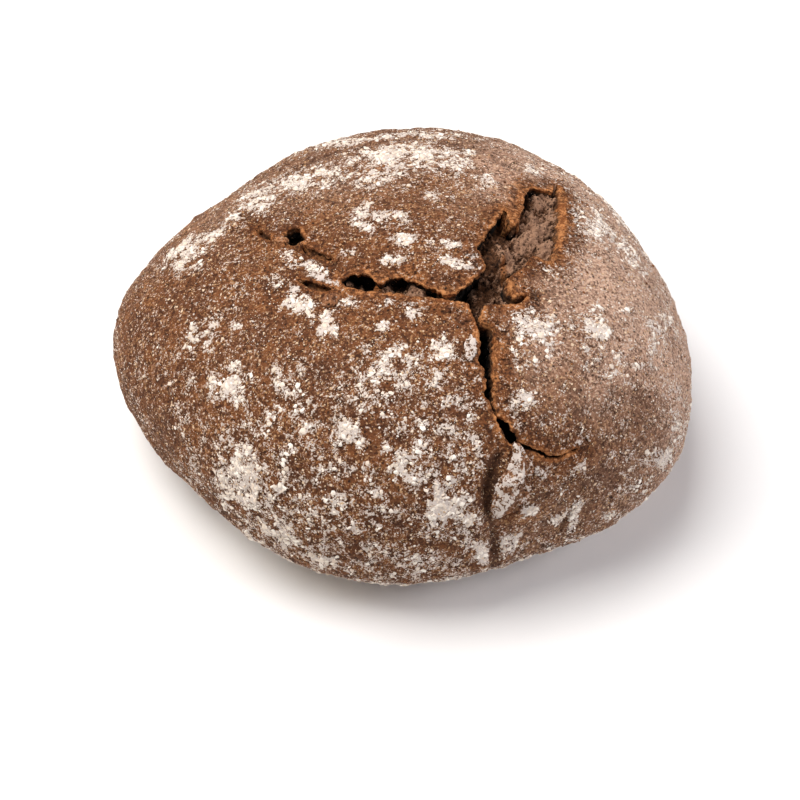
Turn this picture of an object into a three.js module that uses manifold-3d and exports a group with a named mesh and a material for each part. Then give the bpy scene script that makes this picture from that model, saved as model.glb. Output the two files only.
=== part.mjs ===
import * as THREE from 'three';
import { mergeVertices } from 'three/addons/utils/BufferGeometryUtils.js';
import Module from 'manifold-3d';

// A round, hand-shaped rye loaf baked free on the tray. Millimetres, +Z up, front towards -Y.
// It is one solid: a low dome with a flat foot. As it rose, the crust tore into three plates
// that meet near the crown, and bread stands torn open in the widest of the three tears.

// ---- the uncracked loaf

const MEAN_RADIUS = 101.5;          // of the widest line, seen from above
const CROWN_HEIGHT = 97;            // height of the dome's middle above the tray
const BELLY_HEIGHT = 33.5;          // height of the widest line
const DOME_POWER = 2.15;            // superellipse power of the section above the widest line
const FOOT_POWER = 2.3;             // and of the tucked-in section below it
const FOOT_SINK = 6;                // below the tray, where the foot's curve would have closed
const CROWN_SHIFT = { x: -4.8, y: -7.8 };     // the dome leans forward and to the left
const CROWN_SLOPE = { x: 0.07, y: -0.027 };   // and its right side stands higher
const SKIN_DETAIL = 15;             // subdivisions of the dome's icosahedron

// Waves of the widest line round the loaf: how many, how strong, bearing of a peak in degrees.
const PLAN_WAVES = [
  { count: 2, strength: 0.010, bearing: -41 },
  { count: 3, strength: 0.024, bearing: 76 },
  { count: 4, strength: 0.020, bearing: -10 },
  { count: 5, strength: 0.015, bearing: 38 },
];

// A place on the crust is given as [east, north], in degrees of tilt away from the crown.
// Swells and hollows left by the baker's hands and the oven: place, reach in degrees, height.
const SWELLS = [
  { at: [38, -22], reach: 24, height: 1.6 },     // east plate, lifted off the crumb
  { at: [30, -44], reach: 10, height: 1.8 },     // and bulging over its lower edge
  { at: [2, 3], reach: 16, height: 1.0 },        // north plate
  { at: [-34, -30], reach: 22, height: 0.8 },    // west plate
  { at: [42, -80], reach: 16, height: -2.6 },    // hollow low down at the front right
  { at: [24, -80], reach: 9, height: -2.2 },     // where the front crease meets the foot
  { at: [62, 58], reach: 20, height: -1.6 },
  { at: [-58, 56], reach: 20, height: -1.6 },
  { at: [-88, 6], reach: 18, height: 1.2 },
  { at: [-4, 52], reach: 14, height: -0.8 },     // behind the back crease
];

// ---- tears in the crust

const FEWEST_STEPS = 4;             // sections along even the shortest tear
const CUT_RISE = 7;                 // how far the cutting bodies stand proud of the crust
const CUT_FLARE = 1.2;              // and how much wider they are up there
const STEP = 4;                     // spacing of the sections along a tear

// A narrow tear's section from its right lip round to its left one: sideways in half widths,
// sideways in leans, down in depths.
const TEAR_SECTION = [[1, 0, 0], [0.75, 0.5, 0.6], [0, 1, 1], [-0.75, 0.5, 0.6], [-1, 0, 0]];

// Narrow tears: a line of [east, north, half width, depth]; the floor leans sideways by `lean`
// times the depth, to the right when looking along the line, which leaves that lip overhanging.
const NARROW_TEARS = [
  {
    name: 'front tear', lean: 0.15,
    line: [
      [12.4, -15.4, 2.6, 11], [14.6, -19.1, 1.7, 13], [15.4, -22.5, 2.2, 14], [16.4, -28, 2.1, 14],
      [17.4, -34, 1.7, 13], [17.7, -38.4, 1.9, 12], [18.8, -42.2, 1.1, 9], [20.4, -46, 1.6, 7],
      [22, -49.2, 1.2, 5],
    ],
  },
  {
    name: 'fold under the east plate', lean: -0.9,
    line: [
      [22, -49.2, 1.0, 4], [25, -52, 1.2, 4.5], [31, -54.6, 1.9, 6.5], [35, -53.6, 1.8, 6],
      [38, -51.2, 1.1, 3.5], [44.6, -47.6, 0.7, 1.6], [50, -44, 0.3, 0.6],
    ],
  },
  {
    name: 'left tear', lean: 0.7,
    line: [
      [13.2, -15.6, 2.4, 10], [9.6, -14.9, 1.2, 8], [6.2, -14.2, 1.9, 10], [2.2, -12.9, 2.4, 11],
      [-1, -12, 2.0, 11], [-4, -11.6, 2.9, 12], [-7.4, -10.6, 2.4, 10], [-10.2, -9.4, 1.0, 5],
    ],
  },
  {
    name: 'groove up to the hole', lean: 0.5,
    line: [
      [-10.2, -8.6, 0.5, 1], [-12.4, -4.8, 1.1, 3], [-15.4, -2.2, 1.2, 3.2], [-17.2, -0.6, 0.7, 2],
      [-18.8, 2.2, 0.8, 2.2],
    ],
  },
  {
    name: 'hole under the north plate', lean: 0.3,
    line: [[-16.6, 1.6, 0.8, 3], [-18.4, 2.6, 3.0, 9], [-20.4, 3.4, 2.2, 7], [-22.4, 3.2, 0.8, 3]],
  },
  {
    name: 'groove beyond the hole', lean: 0.3,
    line: [
      [-22.4, 3.2, 0.8, 2.5], [-25, 4.6, 1.4, 3.6], [-27.3, 8, 1.0, 2.6], [-29.6, 12, 0.8, 1.4],
      [-31.7, 15.5, 0.4, 0.6],
    ],
  },
  {
    name: 'slit below the left tear', lean: 0.4,
    line: [
      [-10.6, -11.8, 0.5, 1.5], [-12.4, -12.8, 1.2, 4], [-14.2, -12.4, 1.1, 4], [-16, -10.9, 1.2, 3],
      [-17.2, -9, 0.4, 1],
    ],
  },
  {
    name: 'front crease, left of the flake', lean: -0.3,
    line: [
      [21.6, -51, 0.6, 2], [19.8, -57, 1.6, 4.5], [19.2, -64, 1.9, 5.5], [20.6, -70, 1.6, 4.5],
      [23, -76, 1.1, 3], [24.4, -82, 1.5, 3], [27.6, -90, 2.0, 3], [31.5, -100, 1.2, 1.6],
    ],
  },
  {
    name: 'front crease, right of the flake', lean: 0.5,
    line: [[25.4, -55, 0.5, 1.5], [27.2, -61, 1.5, 4], [27.8, -68, 1.5, 4], [25.8, -75, 0.5, 1.5]],
  },
  {
    name: 'pit behind the wide tear', lean: 0,
    line: [[19.8, 32.2, 0.7, 1.2], [22.4, 29.8, 2.6, 3.6], [25.4, 27.4, 0.9, 1.4]],
  },
  {
    name: 'back crease', lean: 0.8,
    line: [
      [20, 32.4, 0.7, 1.4], [14.9, 34.4, 0.8, 1.8], [8.5, 37, 1.0, 2.2], [1.5, 39.2, 1.0, 2.2],
      [-7, 37.6, 0.9, 2.2], [-16, 35.6, 0.8, 1.8], [-24, 32.6, 0.6, 1.2], [-30, 28.6, 0.3, 0.5],
    ],
  },
  {
    name: 'short crease low at the front right', lean: 0.2,
    line: [[46, -70.5, 0.4, 0.8], [46.5, -76, 1.0, 2.4], [47.4, -81, 0.5, 1]],
  },
  {
    name: 'notch in the right flank', lean: 0.2,
    line: [[68, -21, 0.4, 0.6], [75, -24.4, 1.2, 2.2], [81, -29, 0.9, 1.6], [86, -35, 0.4, 0.6]],
  },
];

// The wide tear on the right of the crown, from the meeting point of the tears to its far end:
// left lip, right lip, depth of the torn crumb below them.
const WIDE_TEAR = [
  { left: [11.4, -15.4], right: [14.4, -18.2], depth: 10 },
  { left: [13.2, -11.4], right: [20.6, -16.8], depth: 10 },
  { left: [14.7, -7.8], right: [20.3, -11.4], depth: 11 },
  { left: [13.7, -4.9], right: [21.2, -8.2], depth: 10.5 },
  { left: [15, -1.8], right: [26, -4.4], depth: 8.5 },
  { left: [18.3, 3], right: [31.4, -0.4], depth: 7 },
  { left: [21.4, 9.6], right: [34.8, 7.4], depth: 6 },
  { left: [24.6, 15], right: [35.6, 15], depth: 6.5 },
  { left: [28.2, 19.4], right: [35.5, 21], depth: 6 },
  { left: [31.6, 22.2], right: [34.6, 23.4], depth: 2.5 },
];
const WIDE_RINGS = 26;              // sections along the wide tear
const WALL_TUCK = 0.14;             // its walls close in by this share of its width
const FLOOR_STEPS = 7;              // points across the crumb floor
const FLOOR_HOLLOW = 0.2;           // the floor's middle lies deeper by this share of the depth
const CRUMB_RELIEF = 1.7;           // height of the torn crumb's lumps
const LIP_RAGGED = 0.9;             // how far the torn lips wander in and out
const LIP_PACE = 3;                 // how far along the crumb's waves each section moves on
const CRUMB_WAVES = [               // strength, radians per millimetre in x and y, start
  { strength: 0.4, x: 0.83, y: 0.52, turn: 1.3 },
  { strength: 0.35, x: -0.61, y: 0.79, turn: 0.4 },
  { strength: 0.25, x: 1.37, y: -1.1, turn: 2.2 },
];

// Rounded bits standing on the crust or in the tears: place, height of the middle over the crust,
// radii along, across and up, and the bearing of the long radius.
const LUMPS = [
  { at: [29.4, 1.2], over: -6.4, radii: [8.5, 5.5, 3.6], bearing: 60 },   // light mound of crumb
  { at: [29.2, 22], over: -2.2, radii: [9, 5, 1.8], bearing: 110 },       // stretched skin
  { at: [20.6, -10.6], over: -3, radii: [5, 2.8, 2.6], bearing: 70 },     // torn lip
  { at: [-20.9, 2.4], over: -0.2, radii: [2.6, 2.1, 1.6], bearing: 150 }, // nodule by the hole
  { at: [-12.2, -15], over: 0, radii: [3.6, 3, 1.9], bearing: 20 },       // nodule by the slit
  { at: [14, -27.5], over: -0.2, radii: [5, 2.2, 1.1], bearing: 85 },     // flap on the front tear
];
const LUMP_DETAIL = 2;

// The petal-shaped flake of crust that stands up in the front crease.
const FLAKE = {
  spine: [[23.4, -50.6], [26, -56], [25.8, -62], [24.6, -68], [24, -73.4]],
  halfWidth: [1.6, 4.4, 5.6, 4.4, 1.4],
  height: [1.2, 3.0, 3.4, 2.4, 1.0],
  // Its section over the crust, right to left: sideways in half widths, up in heights.
  section: [[1, 0.1], [0.9, 0.7], [0.45, 1], [-0.4, 0.75], [-1, 0.2]],
  rootWidth: 0.5,                   // half width of its root, in half widths
  root: 9,                          // depth the root reaches into the loaf
};

const CRUST_COLOUR = 0x8f6448;

// ---- geometry of the crust

const radians = THREE.MathUtils.degToRad;
const HALF_DEGREE = 0.5;            // either side of a place, where its slope is measured
const WELD = 1e-4;                  // points nearer than this are one point

// The dome's point at [east, north]: a superellipse section turned round the wavy plan, then
// leaned and sloped in proportion to its height above the widest line.
function domePoint(east, north) {
  const tilt = radians(Math.hypot(east, north));
  const bearing = Math.atan2(north, east);
  const above = tilt <= Math.PI / 2;
  const power = 2 / (above ? DOME_POWER : FOOT_POWER);
  const reach = Math.max(0, Math.sin(tilt)) ** power;
  const level = Math.abs(Math.cos(tilt)) ** power;
  let radius = MEAN_RADIUS;
  for (const wave of PLAN_WAVES) {
    const turn = wave.count * (bearing - radians(wave.bearing));
    radius += MEAN_RADIUS * wave.strength * Math.cos(turn);
  }
  const lift = above ? level : 0;
  const x = radius * reach * Math.cos(bearing) + CROWN_SHIFT.x * lift;
  const y = radius * reach * Math.sin(bearing) + CROWN_SHIFT.y * lift;
  const base = above
    ? BELLY_HEIGHT + (CROWN_HEIGHT - BELLY_HEIGHT) * level
    : BELLY_HEIGHT - (BELLY_HEIGHT + FOOT_SINK) * level;
  return new THREE.Vector3(x, y, base + lift * (CROWN_SLOPE.x * x + CROWN_SLOPE.y * y));
}

// Outward direction at a place, from the two differences across it.
function outward(east, north, surface = domePoint) {
  const eastward = surface(east + HALF_DEGREE, north).sub(surface(east - HALF_DEGREE, north));
  const northward = surface(east, north + HALF_DEGREE).sub(surface(east, north - HALF_DEGREE));
  return eastward.cross(northward).normalize();
}

function swellHeight(east, north) {
  let height = 0;
  for (const swell of SWELLS) {
    const away = Math.hypot(east - swell.at[0], north - swell.at[1]) / swell.reach;
    height += swell.height * Math.exp(-away * away);
  }
  return height;
}

function crustPoint(east, north) {
  const point = domePoint(east, north);
  return point.addScaledVector(outward(east, north), swellHeight(east, north));
}

// ---- solids

const wasm = await Module();
wasm.setup();

function toManifold(geometry) {
  const bare = geometry.clone();
  bare.deleteAttribute('normal');
  bare.deleteAttribute('uv');
  const welded = mergeVertices(bare, WELD);
  return new wasm.Manifold(new wasm.Mesh({
    numProp: 3,
    vertProperties: new Float32Array(welded.attributes.position.array),
    triVerts: new Uint32Array(welded.index.array),
  }));
}

function toGeometry(manifold) {
  const mesh = manifold.getMesh();
  const geometry = new THREE.BufferGeometry();
  geometry.setAttribute('position', new THREE.BufferAttribute(new Float32Array(mesh.vertProperties), 3));
  geometry.setIndex(new THREE.BufferAttribute(new Uint32Array(mesh.triVerts), 1));
  return geometry;
}

// A closed solid from rings of the same number of points, with a fan closing each end.
function loft(rings) {
  const size = rings[0].length;
  const points = rings.flat();
  const index = [];
  for (let i = 0; i + 1 < rings.length; i++) {
    for (let j = 0; j < size; j++) {
      const a = i * size + j;
      const b = i * size + (j + 1) % size;
      index.push(a, b, b + size, a, b + size, a + size);
    }
  }
  for (const end of [0, rings.length - 1]) {
    const middle = new THREE.Vector3();
    rings[end].forEach((point) => middle.addScaledVector(point, 1 / size));
    const hub = points.push(middle) - 1;
    for (let j = 0; j < size; j++) {
      const a = end * size + j;
      const b = end * size + (j + 1) % size;
      index.push(...(end === 0 ? [hub, b, a] : [hub, a, b]));
    }
  }
  const geometry = new THREE.BufferGeometry().setFromPoints(points);
  geometry.setIndex(index);
  return toManifold(geometry);
}

// Stations about STEP apart along a line on the crust. Each has its point, the outward, forward
// and rightward directions there, and the line's other numbers carried smoothly between.
function stationsAlong(line) {
  const path = new THREE.CatmullRomCurve3(line.map(([east, north]) => crustPoint(east, north)));
  const places = new THREE.CatmullRomCurve3(line.map(([east, north]) => new THREE.Vector3(east, north, 0)));
  const sizes = new THREE.CatmullRomCurve3(line.map(([, , wide, tall]) => new THREE.Vector3(wide, tall, 0)));
  const count = Math.max(FEWEST_STEPS, Math.round(path.getLength() / STEP));
  return Array.from({ length: count + 1 }, (_, i) => {
    const along = i / count;
    const place = places.getPoint(along);
    const size = sizes.getPoint(along);
    const out = outward(place.x, place.y, crustPoint);
    const forward = places.getTangent(along);
    const ahead = crustPoint(place.x + forward.x, place.y + forward.y);
    const point = crustPoint(place.x, place.y);
    const right = ahead.sub(point).cross(out).normalize();
    return { point, out, right, wide: size.x, tall: size.y };
  });
}

const offset = (station, right, out) =>
  station.point.clone().addScaledVector(station.right, right).addScaledVector(station.out, out);

// Body that cuts a narrow tear: a wedge hanging below the crust and standing proud of it.
function narrowCutter({ line, lean }) {
  return loft(stationsAlong(line).map((station) => {
    const { wide, tall } = station;
    const wedge = TEAR_SECTION.map(([side, leaned, down]) => (
      offset(station, side * wide + leaned * lean * tall, -down * tall)));
    return [
      offset(station, wide * CUT_FLARE, CUT_RISE),
      ...wedge,
      offset(station, -wide * CUT_FLARE, CUT_RISE),
    ];
  }));
}

// Torn crumb at a plan position: crossed waves, -1 to 1, that don't repeat within the tear.
function crumb(x, y) {
  let height = 0;
  for (const wave of CRUMB_WAVES) {
    height += wave.strength * Math.sin(wave.x * x + wave.y * y + wave.turn);
  }
  return height;
}

// Body that cuts the wide tear: from lip to lip, with walls that close in and a lumpy floor.
function wideCutter() {
  const carried = (pick) => new THREE.CatmullRomCurve3(WIDE_TEAR.map(pick));
  const lefts = carried(({ left, depth }) => new THREE.Vector3(...left, depth));
  const rights = carried(({ right, depth }) => new THREE.Vector3(...right, depth));
  const rings = [];
  for (let k = 0; k <= WIDE_RINGS; k++) {
    const left = lefts.getPoint(k / WIDE_RINGS);
    const right = rights.getPoint(k / WIDE_RINGS);
    const from = crustPoint(left.x, left.y);
    const to = crustPoint(right.x, right.y);
    const out = outward((left.x + right.x) / 2, (left.y + right.y) / 2);
    const across = to.clone().sub(from).normalize();
    from.addScaledVector(across, LIP_RAGGED * crumb(LIP_PACE * k, 0));
    to.addScaledVector(across, LIP_RAGGED * crumb(0, LIP_PACE * k));
    const ring = [from.clone().addScaledVector(out, CUT_RISE), from.clone()];
    for (let i = 0; i <= FLOOR_STEPS; i++) {
      const share = i / FLOOR_STEPS;
      const point = from.clone().lerp(to, THREE.MathUtils.lerp(WALL_TUCK, 1 - WALL_TUCK, share));
      const hollow = 1 + FLOOR_HOLLOW * Math.sin(Math.PI * share);
      ring.push(point.addScaledVector(out, CRUMB_RELIEF * crumb(point.x, point.y) - left.z * hollow));
    }
    ring.push(to.clone(), to.clone().addScaledVector(out, CUT_RISE));
    rings.push(ring.reverse());
  }
  return loft(rings);
}

// A rounded lump: an icosahedron's ball stretched and turned to lie along the crust.
function lump({ at, over, radii, bearing }) {
  const out = outward(...at);
  const heading = radians(bearing);
  const ahead = crustPoint(at[0] + Math.cos(heading), at[1] + Math.sin(heading)).sub(crustPoint(...at));
  const across = out.clone().cross(ahead).normalize();
  const along = across.clone().cross(out).normalize();
  const place = new THREE.Matrix4().makeBasis(along, across, out);
  place.setPosition(crustPoint(...at).addScaledVector(out, over));
  const ball = new THREE.IcosahedronGeometry(1, LUMP_DETAIL);
  ball.scale(...radii).applyMatrix4(place);
  return toManifold(ball);
}

// The flake: a pitched petal, its crest set over to the right, rooted in the crease.
function petal() {
  const line = FLAKE.spine.map(([east, north], i) => [east, north, FLAKE.halfWidth[i], FLAKE.height[i]]);
  return loft(stationsAlong(line).map((station) => {
    const { wide, tall } = station;
    return [
      offset(station, -wide * FLAKE.rootWidth, -FLAKE.root),
      ...FLAKE.section.map(([side, up]) => offset(station, side * wide, up * tall)).reverse(),
      offset(station, wide * FLAKE.rootWidth, -FLAKE.root),
    ];
  }));
}

function wholeDome() {
  const ball = new THREE.IcosahedronGeometry(1, SKIN_DETAIL);
  const position = ball.attributes.position;
  for (let i = 0; i < position.count; i++) {
    const way = new THREE.Vector3().fromBufferAttribute(position, i).normalize();
    const tilt = THREE.MathUtils.radToDeg(Math.acos(THREE.MathUtils.clamp(way.z, -1, 1)));
    const bearing = Math.atan2(way.y, way.x);
    const point = crustPoint(tilt * Math.cos(bearing), tilt * Math.sin(bearing));
    position.setXYZ(i, point.x, point.y, point.z);
  }
  return toManifold(ball);
}

// Everything below the tray, which leaves the loaf its flat foot.
function belowTray() {
  const side = 4 * MEAN_RADIUS;
  return toManifold(new THREE.BoxGeometry(side, side, side).translate(0, 0, -side / 2));
}

// ---- the loaf

let loaf = wholeDome();
loaf = loaf.subtract(wideCutter());
for (const tear of NARROW_TEARS) {
  loaf = loaf.subtract(narrowCutter(tear));
}
for (const bit of LUMPS) {
  loaf = loaf.add(lump(bit));
}
loaf = loaf.add(petal());
loaf = loaf.subtract(belowTray());

// The frame's origin is the middle of the loaf's box, on the tray.
const skin = toGeometry(loaf);
skin.computeBoundingBox();
const middle = skin.boundingBox.getCenter(new THREE.Vector3());
skin.translate(-middle.x, -middle.y, -skin.boundingBox.min.z);
skin.computeVertexNormals();

const mesh = new THREE.Mesh(skin, new THREE.MeshStandardMaterial({ color: CRUST_COLOUR, roughness: 0.85 }));
mesh.name = 'rye_loaf';

const group = new THREE.Group();
group.name = 'rye_bread_loaf';
group.add(mesh);

export default group;
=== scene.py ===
import math
import bpy
import numpy as np
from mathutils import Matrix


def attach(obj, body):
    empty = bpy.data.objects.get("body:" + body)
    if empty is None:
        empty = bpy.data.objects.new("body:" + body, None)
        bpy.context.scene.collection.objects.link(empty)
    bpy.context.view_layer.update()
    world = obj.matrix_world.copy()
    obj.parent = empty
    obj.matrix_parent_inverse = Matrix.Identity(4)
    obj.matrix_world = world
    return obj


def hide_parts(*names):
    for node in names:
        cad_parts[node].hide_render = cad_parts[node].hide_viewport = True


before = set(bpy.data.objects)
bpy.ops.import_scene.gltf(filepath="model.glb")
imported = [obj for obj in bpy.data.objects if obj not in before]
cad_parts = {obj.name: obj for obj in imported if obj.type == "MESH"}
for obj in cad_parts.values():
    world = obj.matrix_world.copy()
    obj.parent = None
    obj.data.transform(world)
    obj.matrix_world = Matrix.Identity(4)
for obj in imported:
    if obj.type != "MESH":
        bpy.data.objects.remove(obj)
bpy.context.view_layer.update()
mm = 0.001

# Everything below is worked out in millimetres, +Z up, front towards -Y, and put into metres when a
# mesh is made. A place on the crust is (east, north), in degrees of tilt away from the crown.


loaf = dict(
    radius=101.5,        # of the widest line, seen from above
    crown=97.0,          # height of the dome's middle
    belly=33.5,          # height of the widest line
    domePower=2.15,      # superellipse power of the section above the widest line
    footPower=2.3,       # and below it
    footSink=6.0,        # below the tray, where the foot's curve would have closed
    lean=(-4.8, -7.8),   # the dome leans forward and to the left
    slope=(0.07, -0.027),
    waves=((2, 0.010, -41), (3, 0.024, 76), (4, 0.020, -10), (5, 0.015, 38)),
    # swells and hollows: east, north, reach in degrees, height
    swells=((38, -22, 24, 1.6), (30, -44, 10, 1.8), (2, 3, 16, 1.0), (-34, -30, 22, 0.8),
            (42, -80, 16, -2.6), (24, -80, 9, -2.2), (62, 58, 20, -1.6), (-58, 56, 20, -1.6),
            (-88, 6, 18, 1.2), (-4, 52, 14, -0.8)),
    middle=(-3.17, 1.27),  # of the box, from the dome's own axis
)


# Superellipse section turned round a wavy plan: radius x sin(tilt)^p outwards, cos(tilt)^p upwards,
# then leaned and sloped in proportion to the height above the widest line.
def domePoint(east, north):
    tilt = np.radians(np.hypot(east, north))
    bearing = np.arctan2(north, east)
    above = tilt <= np.pi / 2
    power = 2 / np.where(above, loaf["domePower"], loaf["footPower"])
    reach = np.maximum(np.sin(tilt), 0) ** power
    level = np.abs(np.cos(tilt)) ** power
    radius = loaf["radius"] * (1 + sum(a * np.cos(k * (bearing - math.radians(at)))
                                       for k, a, at in loaf["waves"]))
    lift = np.where(above, level, 0)
    x = radius * reach * np.cos(bearing) + loaf["lean"][0] * lift
    y = radius * reach * np.sin(bearing) + loaf["lean"][1] * lift
    rise = loaf["belly"] + (loaf["crown"] - loaf["belly"]) * level
    drop = loaf["belly"] - (loaf["belly"] + loaf["footSink"]) * level
    z = np.where(above, rise, drop) + lift * (loaf["slope"][0] * x + loaf["slope"][1] * y)
    return np.stack([x - loaf["middle"][0], y - loaf["middle"][1], z], -1)


# The two directions of the surface per degree, by differences half a degree either side.
def domeSlopes(east, north, half=0.5):
    eastward = (domePoint(east + half, north) - domePoint(east - half, north)) / (2 * half)
    northward = (domePoint(east, north + half) - domePoint(east, north - half)) / (2 * half)
    return eastward, northward


def unit(vectors):
    return vectors / np.maximum(np.linalg.norm(vectors, axis=-1, keepdims=True), 1e-9)


# Crust point and outward direction: the dome plus a bell-shaped swell round each of its places.
def crustPlace(east, north):
    eastward, northward = domeSlopes(east, north)
    out = unit(np.cross(eastward, northward))
    swell = sum(h * np.exp(-((east - e) ** 2 + (north - n) ** 2) / reach ** 2)
                for e, n, reach, h in loaf["swells"])
    return domePoint(east, north) + out * swell[..., None], out


# Middle, long way, short way and outward direction of a thing laid on the crust at a bearing.
def layAt(east, north, bearing=0):
    at = np.array([float(east)]), np.array([float(north)])
    (middle,), (out,) = crustPlace(*at)
    eastward = domeSlopes(*at)[0][0]
    a = unit(eastward - (eastward * out).sum() * out)
    b = np.cross(out, a)
    cos, sin = math.cos(math.radians(bearing)), math.sin(math.radians(bearing))
    return middle, a * cos + b * sin, b * cos - a * sin, out


# The place reached by walking along a vector laid on the surface: least squares in its two slopes.
def shiftPlace(east, north, walk):
    a, b = domeSlopes(east, north)
    aa, bb, ab = (a * a).sum(-1), (b * b).sum(-1), (a * b).sum(-1)
    wa, wb = (walk * a).sum(-1), (walk * b).sum(-1)
    det = np.maximum(aa * bb - ab * ab, 1e-9)
    return east + (wa * bb - wb * ab) / det, north + (wb * aa - wa * ab) / det


chance = np.random.default_rng(1911)
shuffled = chance.permutation(256)
arrows = unit(chance.normal(size=(256, 3)))


# Gradient noise, about -1 to 1: random arrows at lattice corners, blended with a quintic fade.
def noise(points, size, seed=0):
    q = points / size + 31.7 * seed + 100
    base = np.floor(q).astype(np.int64)
    f = q - base
    fade = f * f * f * (f * (f * 6 - 15) + 10)
    total = np.zeros(q.shape[:-1])
    for corner in ((i, j, k) for i in (0, 1) for j in (0, 1) for k in (0, 1)):
        cell = base + np.array(corner)
        index = shuffled[cell[..., 0] & 255]
        index = shuffled[(index + cell[..., 1]) & 255]
        index = shuffled[(index + cell[..., 2]) & 255]
        share = np.prod(np.where(np.array(corner) == 1, fade, 1 - fade), -1)
        total += share * (arrows[index] * (f - np.array(corner))).sum(-1)
    return total * 1.7


# Sum of noises, each half the size and a share of the strength of the last.
def fractal(points, size, layers, seed=0, keep=0.5):
    total, strength, whole = 0, 1.0, 0.0
    for layer in range(layers):
        total = total + strength * noise(points, size / 2 ** layer, seed + layer)
        whole += strength
        strength *= keep
    return total / whole


# One minus the noise's size: sharp crests where it changes sign.
def ridged(points, size, layers, seed=0):
    return 1 - 2 * np.abs(fractal(points, size, layers, seed))


# Sum of noises, each given as strength, size and seed.
def mixed(points, *terms):
    return sum(strength * noise(points, size, seed) for strength, size, seed in terms)


# Cubic ease from 0 at low to 1 at high.
def smooth(low, high, x):
    t = np.clip((x - low) / (high - low), 0, 1)
    return t * t * (3 - 2 * t)


# Catmull-Rom line through control rows, closed or open: the classic four-point cubic.
def through(rows, perStep=24, closed=False):
    rows = np.asarray(rows, float)
    n = len(rows)
    if closed:
        padded = np.concatenate([rows[-1:], rows, rows[:2]])
        spans = n
    else:
        padded = np.concatenate([2 * rows[:1] - rows[1:2], rows, 2 * rows[-1:] - rows[-2:-1]])
        spans = n - 1
    t = np.linspace(0, 1, perStep, endpoint=False)[None, :, None]
    a, b, c, d = (padded[i:i + spans][:, None, :] for i in range(4))
    line = 0.5 * (2 * b + (c - a) * t + (2 * a - 5 * b + 4 * c - d) * t ** 2
                  + (3 * b - a - 3 * c + d) * t ** 3)
    line = line.reshape(-1, rows.shape[1])
    return line if closed else np.concatenate([line, rows[-1:]])


# The same line with its rows an equal walk apart on the crust.
def evenly(line, spacing, closed=False):
    points = domePoint(line[:, 0], line[:, 1])
    loop = np.concatenate([points, points[:1]]) if closed else points
    rows = np.concatenate([line, line[:1]]) if closed else line
    walked = np.concatenate([[0], np.cumsum(np.linalg.norm(np.diff(loop, axis=0), axis=1))])
    count = max(8, int(round(walked[-1] / spacing)))
    stops = np.linspace(0, walked[-1], count + 1)
    stops = stops[:-1] if closed else stops
    return np.stack([np.interp(stops, walked, rows[:, k]) for k in range(rows.shape[1])], 1)


# Distance from points to the nearest sample of a line, and which sample that is.
def nearest(points, samples, chunk=3000):
    best = np.empty(len(points))
    which = np.empty(len(points), np.int64)
    squares = (samples ** 2).sum(-1)
    for start in range(0, len(points), chunk):
        part = points[start:start + chunk]
        d = (part ** 2).sum(-1)[:, None] + squares[None] - 2 * part @ samples.T
        which[start:start + chunk] = d.argmin(1)
        best[start:start + chunk] = np.sqrt(np.maximum(d.min(1), 0))
    return best, which


# Which places lie within a margin, in degrees, of the box of a line.
def placesNear(east, north, lineEast, lineNorth, margin=6):
    return np.nonzero((east > lineEast.min() - margin) & (east < lineEast.max() + margin)
                      & (north > lineNorth.min() - margin) & (north < lineNorth.max() + margin))[0]


# Even-odd rule: how often a ray to the east crosses the closed line.
def inside(east, north, line, chunk=3000):
    x0, y0 = line[:, 0], line[:, 1]
    x1, y1 = np.roll(x0, -1), np.roll(y0, -1)
    slope = (x1 - x0) / np.where(np.abs(y1 - y0) < 1e-9, 1e-9, y1 - y0)
    answer = np.empty(len(east), bool)
    for start in range(0, len(east), chunk):
        e, n = east[start:start + chunk, None], north[start:start + chunk, None]
        crossing = ((y0 > n) != (y1 > n)) & (e < x0 + slope * (n - y0))
        answer[start:start + chunk] = crossing.sum(1) % 2 == 1
    return answer


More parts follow.
